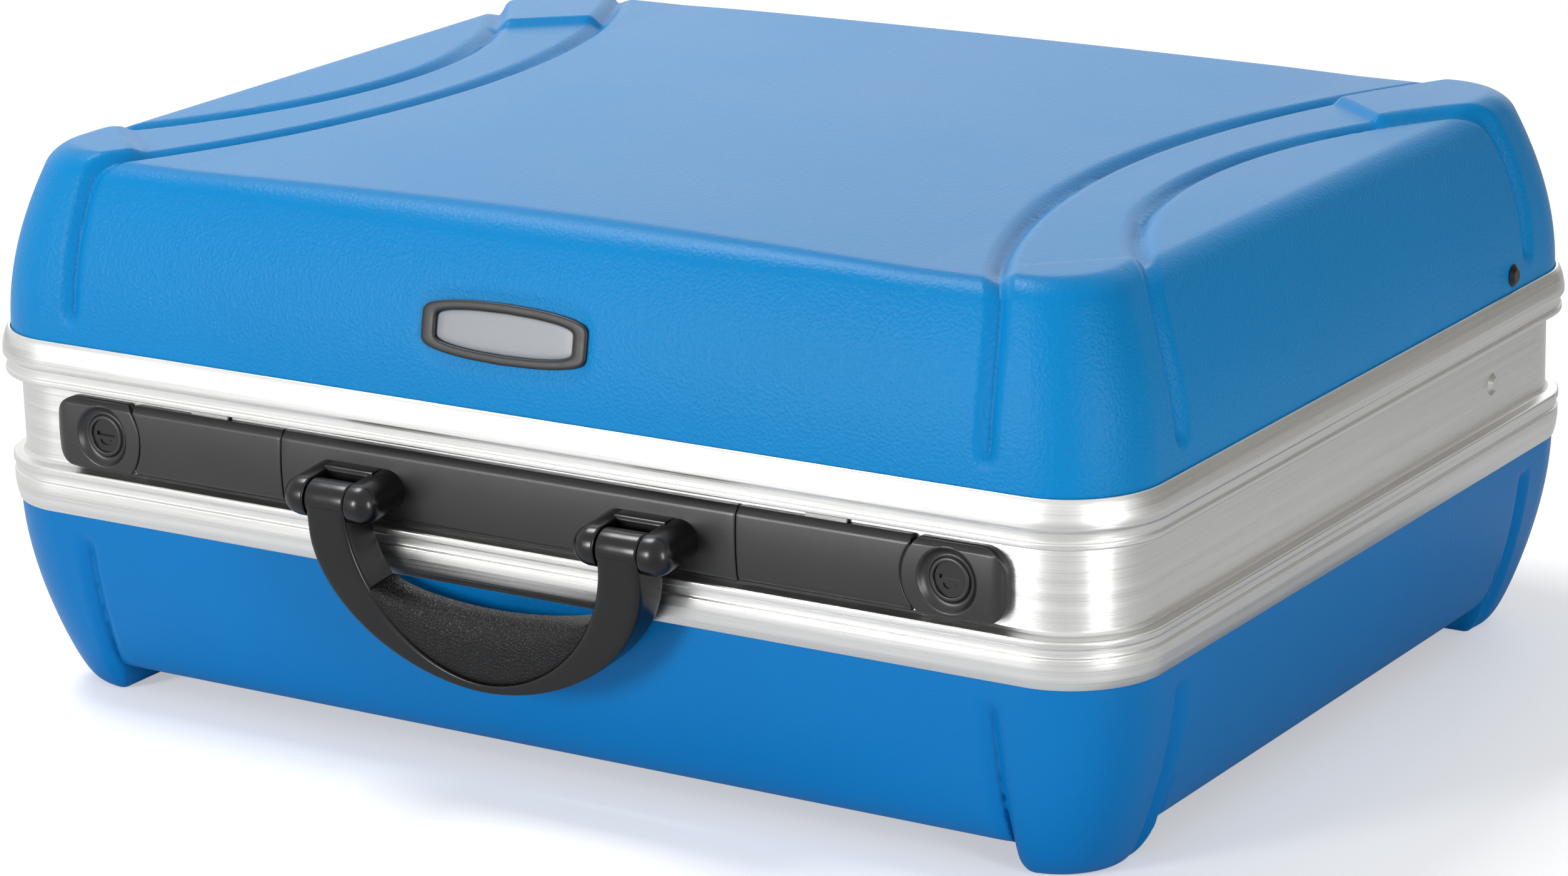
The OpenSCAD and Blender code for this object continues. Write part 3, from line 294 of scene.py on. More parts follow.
blueAbs = mouldedAbs("blueAbs", "#007CBB", 0.9, 0.33)
blueAbsShadedBase = mouldedAbs("blueAbsShadedBase", "#006DB0", 0.3, 0.36)  # the base is drawn less deep and is smoother; its blue is painted darker than the lid's same ABS, as painted shade on the base that leans down away from the lamps
aluminium = brushedAluminium("brushedAluminium", "#DEDEDC", 0.3, 0.5)
blackNylon = satinNylon("blackNylon", "#0A0A0B", 0.36, grain["satinPitch"], 0.35, 0.6)
polishedNylon = satinNylon("polishedNylon", "#070708", 0.24, grain["polishPitch"], 0.08, 0.36)
keyBlack = satinNylon("keyBlack", "#070708", 0.26, grain["keyPitch"], 0.1, 0.5)
gripVinyl = grainedVinyl("gripVinyl", "#060607")
bezelGloss = smoothPart("bezelGloss", "#020203", 0.42, 0.0, 4.0, 0.02)  # ABS, polished in the tool
insertSilver = smoothPart("insertSilver", "#84878C", 0.4, 0.1, 0.4, 0.15)  # aluminium foil plate, matt lacquered
zincSteel = smoothPart("zincSteel", "#B4B4B0", 0.32, 1.0, 0.8, 0.2)  # mild steel, zinc plated and bright passivated
brightRivet = smoothPart("brightRivet", "#CFCFCC", 0.2, 1.0, 1.2, 0.1)  # nickel plated rivets
sealRubber = smoothPart("sealRubber", "#0B0B0C", 0.7, 0.0, 0.6, 0.4)  # EPDM cord
print("materials made")


shellForm = {
    "lidLean": 16.7, "lidEdge": 6.5, "lidEdgeMiddle": 3.0, "lidCrown": 1.9, "crownHalf": 150, "lidEnd": 43.0,
    "padHeight": 2.4, "padFront": (0.69, 0.72, 228.0, 7.0), "padRear": (0.628, 0.778, 191.0, 5.0),
    "baseLean": 18, "baseCurve": 1.75, "baseEnd": 24.5,
    "footHeight": 10.3, "footX": 188, "footY": 127, "footRound": 6, "footCorner": 12, "footCurve": 2.4,
    "grooveHalf": 5.0, "grooveDeep": 3.1, "grooveStart": 7.2, "grooveCurve": 1.6, "grooveBlend": 2.5,
    "baseGrooveX": 188.5, "baseGrooveY": 134, "cornerShare": 0.5, "cornerLeast": 11,
}
inner = {"x0": 139.5, "rise": 32.0, "y1": halfD - shellForm["lidEnd"], "frontX": 188.8, "fade": 8}  # front to back
outer = {"x0": 172.0, "rise": 20.0, "y1": halfD - 97.3, "sideY": halfD - 49.3, "fade": 15, "wallX": 190, "wallRun": 6}
for arc in (inner, outer):  # a circle through the middle, which rises this much over the half length
    arc["r"] = (arc["rise"] ** 2 + arc["y1"] ** 2) / (2 * arc["rise"])
    arc["c"] = arc["x0"] + arc["r"]


def cornerRadius(inset):  # the plan radius shrinks by this share of the inset
    return np.maximum(case["cornerRadius"] - shellForm["cornerShare"] * inset, shellForm["cornerLeast"])


def grooveProfile(distance):  # a valley with soft shoulders and a narrow bottom: (1 - distance / half)^1.6
    share = np.sqrt((distance / shellForm["grooveHalf"]) ** 2 + 0.02) - 0.14
    return np.clip(1 - share, 0, 1) ** shellForm["grooveCurve"]


def softMin(a, b, width):  # the smaller of two lengths, blended over a width: b - width log(1 + exp((b - a) / width))
    return b - width * np.log1p(np.exp(np.clip((b - a) / width, -30, 30)))


def lidGrooves(x, y, high):
    # Distance in plan to the inner arc (front to back) and to the outer arc (beside it), which turn straight
    # on the walls; the closed end near the lip is a half circle. Gives the groove's depth and the pad's height.
    ax, ay, f = np.abs(x), np.abs(y), shellForm
    arcX = inner["c"] - np.sqrt(np.maximum(inner["r"] ** 2 - np.minimum(ay, 0.8 * inner["r"]) ** 2, 1))
    gx = softMin(arcX, inner["frontX"], f["grooveBlend"])
    slope = lerp(1, (inner["c"] - gx) / inner["r"], smooth((inner["frontX"] - gx) / inner["fade"]))
    first = (ax - gx) * slope
    arcY = np.sqrt(np.maximum(outer["r"] ** 2 - (outer["c"] - ax) ** 2, 1))
    gy = softMin(arcY, outer["sideY"], f["grooveBlend"])
    onWall = (ay - gy) * lerp(1, gy / outer["r"], smooth((outer["sideY"] - gy) / outer["fade"]))
    onTop = np.hypot(outer["c"] - ax, ay) - outer["r"]
    second = lerp(onTop, onWall, smooth((ax - outer["wallX"]) / outer["wallRun"]))
    below = np.maximum(f["grooveStart"] + f["grooveHalf"] - high, 0)
    dig = np.maximum(grooveProfile(np.hypot(first, below)), grooveProfile(np.hypot(second, below)))
    between = smooth(first / f["grooveHalf"] * 0.5 + 0.5) * smooth(second / f["grooveHalf"] * 0.5 + 0.5)
    rise = [smooth((nx * ax + ny * ay - line) / step) for nx, ny, line, step in (f["padFront"], f["padRear"])]
    return dig * f["grooveDeep"], between * np.where(y < 0, *rise) * f["padHeight"]


def baseGrooves(x, y, high):  # straight grooves beside each corner, two on each wall
    ax, ay, f, cornerZone = np.abs(x), np.abs(y), shellForm, 45
    below = np.maximum(f["grooveStart"] + f["grooveHalf"] - high, 0)
    onFront = grooveProfile(np.hypot(ax - f["baseGrooveX"], below)) * (ay > halfD - cornerZone)
    onSide = grooveProfile(np.hypot(ay - f["baseGrooveY"], below)) * (ax > halfW - cornerZone)
    return np.maximum(onFront, onSide) * f["grooveDeep"]


def footShare(x, y):
    # 1 over a foot, 0 over the bottom. With d the distance inside the foot's outline, the height is
    # (1 - (1 - d / round)^2.4)^(1 / 2.4): an upright side with a rounded lower edge, and a small fillet at its root.
    f = shellForm
    dx, dy, corner = np.abs(x) - f["footX"], np.abs(y) - f["footY"], f["footCorner"]
    inCorner = corner - np.hypot(np.maximum(corner - dx, 0), np.maximum(corner - dy, 0))
    d = np.clip(inCorner / f["footRound"], 0, 1)
    return (1 - (1 - d) ** f["footCurve"]) ** (1 / f["footCurve"]) * smooth(inCorner / 1.2 + 0.2)


def crownShare(x):  # 1 in the middle of the lid, falling with the square of x to 0
    return 1 - np.minimum(np.abs(x) / shellForm["crownHalf"], 1) ** 2


def lidEdgeRadius(x):  # the edge between wall and top is rounder in the middle of the front
    return shellForm["lidEdge"] + shellForm["lidEdgeMiddle"] * crownShare(x)


def lidTop(x):  # height of the lid's top over its lip, falling from the middle to the sides
    return case["lidHeight"] - shellForm["lidCrown"] * (1 - crownShare(x))


def lidInset(g, x=0.0):
    # The wall leans in with the square of the height g; over the last radius it turns in as radius (1 - sqrt(1 - t^2)).
    radius = lidEdgeRadius(x)
    t = np.clip((g - 1) * case["lidHeight"] / radius + 1, 0, 1)
    return case["lipIn"] + shellForm["lidLean"] * g ** 2 + radius * (1 - np.sqrt(1 - t ** 2))


def baseInset(g, depth):  # lean g^1.75 down the wall, then a turn in as 1 - (1 - g^16)^(1/3)
    f = shellForm
    lean = f["baseLean"] * (g * depth / case["baseLip"]) ** f["baseCurve"]
    turn = f["baseEnd"] - case["lipIn"] - f["baseLean"] * (depth / case["baseLip"]) ** f["baseCurve"]
    return case["lipIn"] + lean + turn * (1 - np.cbrt(np.maximum(1 - g ** 16, 0)))


def baseDepth(x, y):  # from the lip down to the bottom or to a foot
    return case["baseLip"] - shellForm["footHeight"] * (1 - footShare(x, y))


badge = {
    "wide": 68.0, "high": 21.0, "up": 26.7, "power": 0.28, "barrel": 0.26, "sideShare": 1.7, "sink": 1.6, "out": 0.75,
    "bezel": 3.3, "insertOut": -0.5, "dishHalfWide": 38.0, "dishHalfHigh": 14.2, "dishDeep": 0.9, "dishEdge": 0.55,
}


def badgeDish(x, y, high):  # the shell is sunk a little round the badge, where |x / a|^4 + |up / b|^4 < 1
    q = (x / badge["dishHalfWide"]) ** 4 + ((high - badge["up"]) / badge["dishHalfHigh"]) ** 4
    return badge["dishDeep"] * smooth((1 - q) / badge["dishEdge"]) * (y < 0)


def spread(stops, end):  # columns mirrored about 0; each (start, count) is shared out evenly up to the next start
    starts = [start for start, _ in stops] + [end]
    half = [np.linspace(start, starts[i + 1], count)[:-1] for i, (start, count) in enumerate(stops)]
    half = np.concatenate(half + [[end]])
    return np.concatenate([-half[:0:-1], half])


def shellPlan(end, badgeCount):
    # The closed side in plan: straight parts, and each square corner cell turned into a quarter disc by the greater of
    # its two shares. Beside x and y stand the shares of the straight parts and the direction in the corner.
    r = cornerRadius(end)
    lx, ly = halfW - end - r, halfD - end - r
    xs = spread([(0, 5), (27, badgeCount), (38, 16), (128, 16), (150, 34), (lx - 8, 12), (lx, 24)], lx + r)
    ys = spread([(0, 14), (70, 34), (ly - 14, 18), (ly, 24)], ly + r)
    gx, gy = np.meshgrid(xs, ys, indexing="ij")
    u, v = np.maximum(np.abs(gx) - lx, 0) / r, np.maximum(np.abs(gy) - ly, 0) / r
    big = np.maximum(u, v)
    angle = np.where(u >= v, math.pi / 4 * v / np.maximum(u, 1e-9), math.pi / 2 - math.pi / 4 * u / np.maximum(v, 1e-9))
    inCorner = (u > 0) & (v > 0)
    cu, cv = np.where(inCorner, big * np.cos(angle), u), np.where(inCorner, big * np.sin(angle), v)
    px = np.sign(gx) * (np.minimum(np.abs(gx), lx) + r * cu)
    py = np.sign(gy) * (np.minimum(np.abs(gy), ly) + r * cv)
    sx, sy = np.sign(gx) * np.minimum(np.abs(gx) / lx, 1), np.sign(gy) * np.minimum(np.abs(gy) / ly, 1)
    far = np.maximum(big, 1e-9)
    return np.stack([px, py, sx, sy, np.sign(gx) * cu / far, np.sign(gy) * cv / far], -1)


def outwards(border):  # the direction in which each border column looks
    return border[:, 4:6] / np.hypot(border[:, 4], border[:, 5])[:, None]


def ringAt(border, inset):  # where the border's columns stand at this inset from the lip
    r, way = cornerRadius(inset), outwards(border)
    return border[:, 2] * (halfW - inset - r) + r * way[:, 0], border[:, 3] * (halfD - inset - r) + r * way[:, 1]


def levelRing(border, inset, z):  # a ring at one height
    x, y = ringAt(border, np.full(len(border), inset))
    return np.stack([x, y, np.full(len(border), z)], -1)


def lidWall(border):
    # Rings in three runs of (share of the wall, turn round the edge, share of the flat). The level of a ring is the
    # wall's share of what the edge leaves, and radius sin(turn) on the edge. The groove digs in square to the wall.
    turns, f, alongX, way = np.linspace(0, math.pi / 2, 12)[1:], shellForm, border[:, 2] * halfW, outwards(border)
    runs = [(g, 0, 0) for g in np.linspace(0, 1, 31)] + [(1, a, 0) for a in turns]
    runs += [(1, math.pi / 2, k) for k in np.linspace(0, 1, 9)[1:]]
    rings = []
    for wallShare, edgeTurn, flat in runs:
        edge = lidEdgeRadius(alongX) / case["lidHeight"]
        level = wallShare * (1 - edge) + edge * math.sin(edgeTurn)
        x, y = ringAt(border, lerp(lidInset(level, alongX), f["lidEnd"], flat))
        high = level * lidTop(x)
        dig, pad = lidGrooves(x, y, high)
        slope = lerp(math.atan(2 * f["lidLean"] / case["lidHeight"] * wallShare), math.pi / 2, edgeTurn / (math.pi / 2))
        side = (dig + badgeDish(x, y, high)) * math.cos(slope)
        z = case["lidLip"] + high + pad * level ** 3 - dig * math.sin(slope)
        rings.append(np.stack([x - way[:, 0] * side, y - way[:, 1] * side, z], -1))
    return np.stack(rings)


def baseWall(border):
    # Rings from the lip down, closer together where the wall turns in: share = 1 - (1 - t)^2.6 below the grooves' ends.
    # The inset depends on the depth, which depends on where the column stands, so that it is worked out twice. The
    # grooves fade as 1 - share^14 at the bottom's edge.
    start, way = shellForm["grooveStart"] / case["baseLip"], outwards(border)
    lower = start + (1 - start) * (1 - (1 - np.linspace(0, 1, 52)) ** 2.6)
    rings = []
    for g in np.concatenate([np.linspace(0, start * 0.9, 4), lower]):
        x, y = ringAt(border, np.full(len(border), baseInset(g, case["baseLip"])))
        for _ in range(2):
            x, y = ringAt(border, baseInset(g, baseDepth(x, y)))
        depth = baseDepth(x, y)
        dig = baseGrooves(x, y, g * depth) * (1 - g ** 14)
        rings.append(np.stack([x - way[:, 0] * dig, y - way[:, 1] * dig, case["baseLip"] - g * depth], -1))
    return np.stack(rings)


def shellPatches(plan, border, wall, closedZ, lip, way, deep, insetAt):
    # Skirt and wall outside, the closed side, the rim, and inside a plain wall whose flat end starts 4 mm in. way is 1
    # for a shell that closes upwards and -1 downwards, closedZ the heights of the closed side, deep the depth inside
    # and insetAt gives the inset at a level inside; those levels go as share^0.6.
    closed = np.stack([plan[..., 0], plan[..., 1], closedZ], -1)
    edgeZ = lip - way * case["skirt"]
    skirt = levelRing(border, case["lipIn"], edgeZ)
    levels = np.linspace(0, 1, 9) ** 0.6
    insets = [insetAt(0.0)] + [insetAt(level) for level in levels]
    insets = np.array(insets + [insets[-1] + 4]) + case["wall"]
    heights = [edgeZ, *(lip + way * deep * levels), lip + way * deep]
    inside = np.stack([levelRing(border, inset, z) for inset, z in zip(insets, heights)])
    return [(np.concatenate([skirt[None], wall]), False, True), (closed, False, False),
            (np.stack([skirt, inside[0]]), False, True), (inside, False, True),
            capPatch(inside[-1], [0, 0, heights[-1]])]


def lidPatches():  # the grooves on top lie far above their closed ends; the inside stops short of the rounded edge
    plan = shellPlan(shellForm["lidEnd"], 12)
    x, border = plan[..., 0], borderLoop(plan)
    dig, pad = lidGrooves(x, plan[..., 1], np.full(x.shape, 60.0))
    deep = case["lidHeight"] - shellForm["lidCrown"] - case["wall"]
    return shellPatches(plan, border, lidWall(border), case["lidLip"] + lidTop(x) + pad - dig, case["lidLip"], 1, deep,
                        lambda level: lidInset(level * 0.985))


def basePatches():
    plan = shellPlan(shellForm["baseEnd"], 3)
    border, most = borderLoop(plan), case["baseLip"] - shellForm["footHeight"]
    closedZ = case["baseLip"] - baseDepth(plan[..., 0], plan[..., 1])
    return shellPatches(plan, border, baseWall(border), closedZ, case["baseLip"], -1, most - case["wall"],
                        lambda level: baseInset(level, most))


makePiece("lidShell", lidPatches(), "lid", blueAbs, ["lid_shell"], 50)
makePiece("baseShell", basePatches(), "base", blueAbsShadedBase, ["base_shell"], 50)
print("shells made")


frameForm = {
    "baseHeight": 47.2, "lidHeight": 16.7, "wall": 2.6, "baseRim": 1.5, "lidRim": 2.1, "lidBead": 3.0, "edge": 0.35,
    "sealWidth": 1.4, "cornerSteps": 25,
}
slotOut, slotIn, slotDeep = case["lipIn"] - 0.1, case["lipIn"] + case["wall"] + 0.6, case["skirt"] + 0.3
bandBack = case["bandIn"] + frameForm["wall"]
sealOut, sealBack = [-case["bandIn"] - (frameForm["wall"] + k * frameForm["sealWidth"]) / 2 for k in (-1, 1)]


def sweptRing(profile, z0):  # a profile [outside the lip, height] carried round the rounded rectangle
    p, steps, radius = roundOff(profile, frameForm["edge"]), frameForm["cornerSteps"], case["cornerRadius"]
    theta = np.linspace(0, math.pi / 2, steps)
    angles = np.concatenate([theta + i * math.pi / 2 for i in range(4)])
    sx = np.repeat([1, -1, -1, 1], steps) * (halfW - radius)
    sy = np.repeat([1, 1, -1, -1], steps) * (halfD - radius)
    out = radius + p[None, :, 0]
    grid = np.stack([sx[:, None] + out * np.cos(angles)[:, None], sy[:, None] + out * np.sin(angles)[:, None],
                     np.broadcast_to(z0 + p[None, :, 1], (4 * steps, len(p)))], -1)
    path = np.stack([sx + radius * np.cos(angles), sy + radius * np.sin(angles)], -1)
    along = np.concatenate([[0], np.cumsum(np.linalg.norm(np.roll(path, -1, 0) - path, axis=1))]) * 0.001
    across = np.concatenate([[0], np.cumsum(np.linalg.norm(np.roll(p, -1, 0) - p, axis=1))]) * 0.001
    return [(grid, True, True, along, across)]


def baseProfile():  # lip, shadow groove, rim, plain band with the seal's groove in its top, and the slot for the shell
    h, rim, band = frameForm["baseHeight"], frameForm["baseRim"], case["bandIn"]
    lip, groove = rim - 0.2, rim - 1
    return [[-slotOut, 0], [0, 0], [0.6 * lip, 3], [lip, 7], [lip, 10.8], [groove, 11.2], [groove, 13.9],
            [rim, 14.3], [rim, 16.4], [rim - 0.5, 16.9], [1.1 - band, 17.4], [-band, 18.6], [-band, h],
            [sealOut, h], [sealOut, h - 1], [sealBack, h - 1], [sealBack, h], [-bandBack, h], [-bandBack, 1.5],
            [-slotIn, 1.5], [-slotIn, slotDeep], [-slotOut, slotDeep]]


def lidProfile():  # rim, step, rounded bead, and the slot for the shell
    h, rim, bead = frameForm["lidHeight"], frameForm["lidRim"], frameForm["lidBead"]
    return [[-bandBack, 0], [rim - 0.4, 0], [rim, 0.4], [rim, 2], [rim - 0.6, 2.5], [rim - 0.6, 5.6],
            [bead - 0.5, 6.1], [bead, 7], [bead - 0.1, h - 7.3], [bead - 0.7, h - 4.1], [bead - 1.7, h - 1.3], [0.5, h],
            [-slotOut, h], [-slotOut, h - slotDeep], [-slotIn, h - slotDeep], [-slotIn, h - 1.5], [-bandBack, h - 1.5]]


baseRing = sweptRing(baseProfile(), case["baseLip"])
lidRing = sweptRing(lidProfile(), case["parting"] + case["seal"])
makePiece("baseFrame", baseRing, "base", aluminium, ["base_frame"], 30)
makePiece("lidFrame", lidRing, "lid", aluminium, ["lid_frame"], 30)
print("frames made")

strip = {
    "low": 92.0, "height": 26.2, "thick": 4.3, "crown": 1.0, "plateEnd": 94.15, "leverStart": 94.45, "leverEnd": 161.15,
    "leverTurn": 140, "gapRadius": 17.6, "edge": 0.55, "topFrom": 2.3, "topOut": 0.32, "topSlope": 0.965,
    "footOut": 3.4, "footSlope": 0.95,
}
lock = {
    "x": 175.2, "bore": 6.05, "collar": 7.5, "collarHigh": 1.3, "dishFloor": 8.4, "dish": 11.2, "deep": 3.0,
    "bump": 17.2, "end": 21.3, "endCorner": 9.0, "endRound": 5.5, "endFall": 0.62,
}


def stripOut(up):
    # How far the strip's face stands out at this height: 1 - (2 up / height - 1)^2 times the crown, cut by the
    # slopes of its lower and upper edges.
    face = strip["thick"] + strip["crown"] * (1 - (2 * up / strip["height"] - 1) ** 2)
    top = strip["thick"] + strip["topOut"] - (up - strip["height"] + strip["topFrom"]) * strip["topSlope"]
    return np.minimum(np.minimum(face, top), strip["footOut"] + up * strip["footSlope"])


def insetLoop(p, d):  # each point of a closed profile moved inwards along the mean of its two edge normals
    e = np.roll(p, -1, 0) - p
    n = np.stack([-e[:, 1], e[:, 0]], -1) / np.maximum(np.linalg.norm(e, axis=1), 1e-9)[:, None]
    m = n + np.roll(n, 1, 0)
    m /= np.linalg.norm(m, axis=1)[:, None]
    area = np.sum(p[:, 0] * np.roll(p[:, 1], -1) - p[:, 1] * np.roll(p[:, 0], -1))
    return p + m * d * np.sign(area)


def drawnBar(profile, x0, x1, radius, middle, toPlace):
    # A closed profile drawn along X; near each end it shrinks by radius - sqrt(radius^2 - t^2), a rounded edge.
    a = np.linspace(0, math.pi / 2, 6)
    t, less = radius * (1 - np.cos(a)), radius * (1 - np.sin(a))
    between = np.linspace(x0 + radius, x1 - radius, middle)[1:-1]
    xs = np.concatenate([x0 + t, between, (x1 - t)[::-1]])
    loops = np.stack([insetLoop(profile, d) for d in np.concatenate([less, 0 * between, less[::-1]])])
    return withCaps(toPlace(np.broadcast_to(xs[:, None], loops.shape[:2]), loops[..., 0], loops[..., 1]))


def onStrip(x, out, up):  # distances from the foot of the black strip on the front band
    return np.stack([x, -bandY - out, strip["low"] + up], -1)


ups = np.linspace(0, strip["height"], 40)
plateProfile = np.concatenate([[[0, 0]], np.stack([stripOut(ups), ups], -1), [[0, strip["height"]]]])
plateBar = drawnBar(plateProfile, -strip["plateEnd"], strip["plateEnd"], strip["edge"], 60, onStrip)
makePiece("handlePlate", plateBar, "base", blackNylon, ["handle_plate"], 40)


def onLever(side):
    def place(x, out, up):  # the outer end keeps a constant gap round the lock: back by smooth(share of the last part)
        reach = np.sqrt(np.maximum(strip["gapRadius"] ** 2 - (up - strip["height"] / 2) ** 2, 0))
        back = np.maximum(strip["leverEnd"] - (lock["x"] - reach), 0)
        late = smooth((x - strip["leverTurn"]) / (strip["leverEnd"] - strip["leverTurn"]))
        return onStrip(side * (x - back * late), out, up)
    return place


leverUps = np.linspace(2.4, strip["height"], 38)
leverFoot = [[1.0, 5.2], [1.3, 3.2], [1.0, 1.4], [1.9, 0.35], [2.9, 0.3], [3.8, 0.9], [4.25, 1.6]]
leverFace = np.stack([stripOut(leverUps), leverUps], -1)
leverProfile = np.concatenate([leverFoot, leverFace, [[1.0, strip["height"]]]])


def lockOutline(theta):
    # Distance from the barrel's middle to the housing's outline: a circle towards the lever, min(bump, height / |sin|),
    # and a box with rounded corners towards the end, min(end / cos, height / |sin|) away from the corners.
    c, s = np.cos(theta), np.abs(np.sin(theta)) + 1e-9
    half, r = strip["height"] / 2, lock["endCorner"]
    left = np.minimum(lock["bump"], half / s)
    flat = np.minimum(lock["end"] / np.maximum(c, 1e-9), half / s)
    cx, cz = lock["end"] - r, half - r
    along = c * cx + s * cz
    arc = along + np.sqrt(np.maximum(along ** 2 - cx ** 2 - cz ** 2 + r ** 2, 0))
    corner = (flat * c > cx) & (flat * s > cz)
    return np.where(c > 0, np.where(corner, arc, flat), left)


def lockPatches(side):
    # Rings about the barrel: (radius, out) up the bore, over the collar, along the dish's floor; then up the dish's
    # side by shares of the way to the face; then over the face to the outline, and round its edge to the back.
    theta = np.linspace(0, 2 * math.pi, 193)[:-1][:, None]
    edge = lockOutline(theta)
    bore, collar, dishEdge = lock["bore"], lock["collar"], lock["dish"] + 0.35
    low = strip["thick"] + strip["crown"] - lock["deep"]
    top = low + lock["collarHigh"]

    def faceAt(r):  # the strip's face, falling to the housing's end as 1 - sqrt(1 - t^2)
        t = np.clip((r * np.cos(theta) - lock["end"] + lock["endRound"]) / lock["endRound"], 0, 0.985)
        fall = lock["endRound"] * lock["endFall"] * (1 - np.sqrt(1 - t ** 2))
        return stripOut(strip["height"] / 2 + r * np.sin(theta)) - fall

    middle = [(bore, 0.2), (bore, top - 0.25), (bore + 0.1, top - 0.08), (bore + 0.3, top), (collar - 0.4, top - 0.03),
              (collar - 0.1, top - 0.2), (collar + 0.1, low + 0.6), (collar + 0.5, low + 0.12),
              (lock["dishFloor"] + 0.1, low)]
    rings = [(np.full_like(edge, r), np.full_like(edge, z)) for r, z in middle]
    for r, share in ((9.2, 0.12), (9.9, 0.34), (10.5, 0.62), (10.9, 0.83), (lock["dish"], 0.95), (dishEdge, 1.0)):
        radius = np.full_like(edge, r)
        rings.append((radius, lerp(low, faceAt(radius), share)))
    for k in np.linspace(0, 1, 20)[1:]:
        radius = lerp(dishEdge, edge - strip["edge"], k)
        rings.append((radius, faceAt(radius)))
    last = rings[-1][1]
    rings += [(edge - 0.3, last - 0.07), (edge - 0.1, last - 0.22), (edge, last - 0.5), (edge, last * 0.5),
              (edge, 0 * edge), (0.5 * edge + 3, 0 * edge)]
    radius, out = np.concatenate([r for r, _ in rings], 1), np.concatenate([o for _, o in rings], 1)
    x, up = lock["x"] + radius * np.cos(theta), strip["height"] / 2 + radius * np.sin(theta)
    return [(onStrip(side * x, out, up), True, True)]


for side, word in ((-1, "left"), (1, "right")):
    leverBar = drawnBar(leverProfile, strip["leverStart"], strip["leverEnd"], strip["edge"], 60, onLever(side))
    makePiece("latchLever_" + word, leverBar, "latch_" + word, blackNylon, ["latch_lever_" + word], 40)
    makePiece("lockHousing_" + word, lockPatches(side), "base", blackNylon,
              ["lock_housing_" + word], 50)
print("plate, levers and locks made")

handle = {
    "x": 60.4, "pivotOut": 19.5, "pivotUp": 10.5, "armWide": 16.7, "thick": 16.0, "drop": 60.0, "strap": 3.3,
    "lean": 6.0, "power": 2 / 1.9, "outerStart": 10.5, "innerStart": 3.5, "square": 0.24, "barrelEdge": 1.0,
}
bracket = {
    "ear": 7.2, "earLong": 10.8, "straight": 3.6, "gap": 0.4, "back": 15.7, "top": 8.6, "low": -5.4, "rise": 1.5,
    "wall": 10.2, "hood": 7.8, "edge": 0.9,
}
grip = {
    "high": 24.3, "from": 28, "to": 152, "narrow": 0.95, "saddle": 4.5, "saddleHalf": 43, "widen": 1.01, "under": 1.4,
    "side": 0.5, "endLess": 2.2, "endShare": 0.03, "square": 0.3, "round": 0.85,
}
armRadius = handle["thick"] * 0.42
pivotY, pivotZ = -bandY - handle["pivotOut"], strip["low"] + handle["pivotUp"]


def onPivot(x, back, up):  # distances from the handle's pivot, square to the case
    return np.stack([x, pivotY + back, pivotZ + up], -1)


def onHandle(x, back, up):  # the same, turned with the hanging handle
    c, s = math.cos(math.radians(handle["lean"])), math.sin(math.radians(handle["lean"]))
    return onPivot(x, c * back - s * up, s * back + c * up)


def earPatches(side):
    # A stadium about the pivot, reaching back to the plate; its radius falls as sqrt(1 - t^2) to a domed outer end.
    turn = np.linspace(-math.pi / 2, math.pi / 2, 33)
    back = np.linspace(0, bracket["back"], 12)[1:]
    middleBack = np.concatenate([0 * turn, back, back[::-1]])
    middleUp = bracket["rise"] * middleBack / bracket["back"]
    normalBack = np.concatenate([-np.cos(turn), 0 * back, 0 * back])
    normalUp = np.concatenate([np.sin(turn), 0 * back + 1, 0 * back - 1])
    t = np.sin(np.linspace(0, math.pi / 2, 22))
    startAt, startLess = [0, 0.12, 0.45, 0.9], np.array([0.7, 0.3, 0.08, 0])  # a small edge on the inner side
    along = np.concatenate([startAt, bracket["straight"] + (bracket["earLong"] - bracket["straight"]) * t])
    radius = bracket["ear"] * np.concatenate([1 - startLess / bracket["ear"], np.sqrt(np.maximum(1 - t ** 2, 0))])
    radius = np.maximum(radius, 0.02)[:, None]
    x = handle["x"] + side * (handle["armWide"] / 2 + bracket["gap"] + along)[:, None]
    return withCaps(onPivot(x + 0 * middleBack, middleBack + radius * normalBack, middleUp + radius * normalUp))


def bracketPatches(side):  # two ears, and between them a wall whose upper part reaches forwards as a hood
    reach = handle["armWide"] / 2 + bracket["gap"] + 1.5
    wall, hood, back, up, low = [bracket[key] for key in ("wall", "hood", "back", "top", "low")]
    profile = roundOff([[wall, low], [wall, 0.6], [hood, 2.8], [hood, up - 1.0], [hood + 1.0, up], [back, up + 0.1],
                        [back, low]], bracket["edge"], 5)
    patches = earPatches(1) + earPatches(-1)
    patches += drawnBar(profile, handle["x"] - reach, handle["x"] + reach, 0.3, 6, onPivot)
    return [(p[0] * [side, 1, 1],) + tuple(p[1:]) for p in patches]


def outlinePoint(angle, half, start, drop):
    # x = half |cos|^p, up = -start - (drop - start) |sin|^p
    return half * power(np.cos(angle), handle["power"]), -start - (drop - start) * power(np.sin(angle), handle["power"])


def innerOutline(angle):
    half, drop = handle["x"] - handle["armWide"] / 2, handle["drop"] - handle["strap"]
    return outlinePoint(angle, half, handle["innerStart"], drop)


def sectionRing(p, q, b0, b1, count, e, far=None):
    # A rounded square between two places p and q of the handle's plane: shares 0.5 + 0.5 |cos|^e and 0.5 + 0.5 |sin|^e.
    a = 2 * math.pi * (np.arange(count) + 0.5) / count
    e = np.where(np.cos(a) > 0, far or e, e)  # the far half may be rounder
    m, n = 0.5 + 0.5 * power(np.cos(a), e), 0.5 + 0.5 * power(np.sin(a), e)
    x = lerp(p[0][:, None], q[0][:, None], m)
    up = lerp(p[1][:, None], q[1][:, None], m)
    back = lerp(b0[:, None], b1[:, None], n)
    return onHandle(x, back, up)


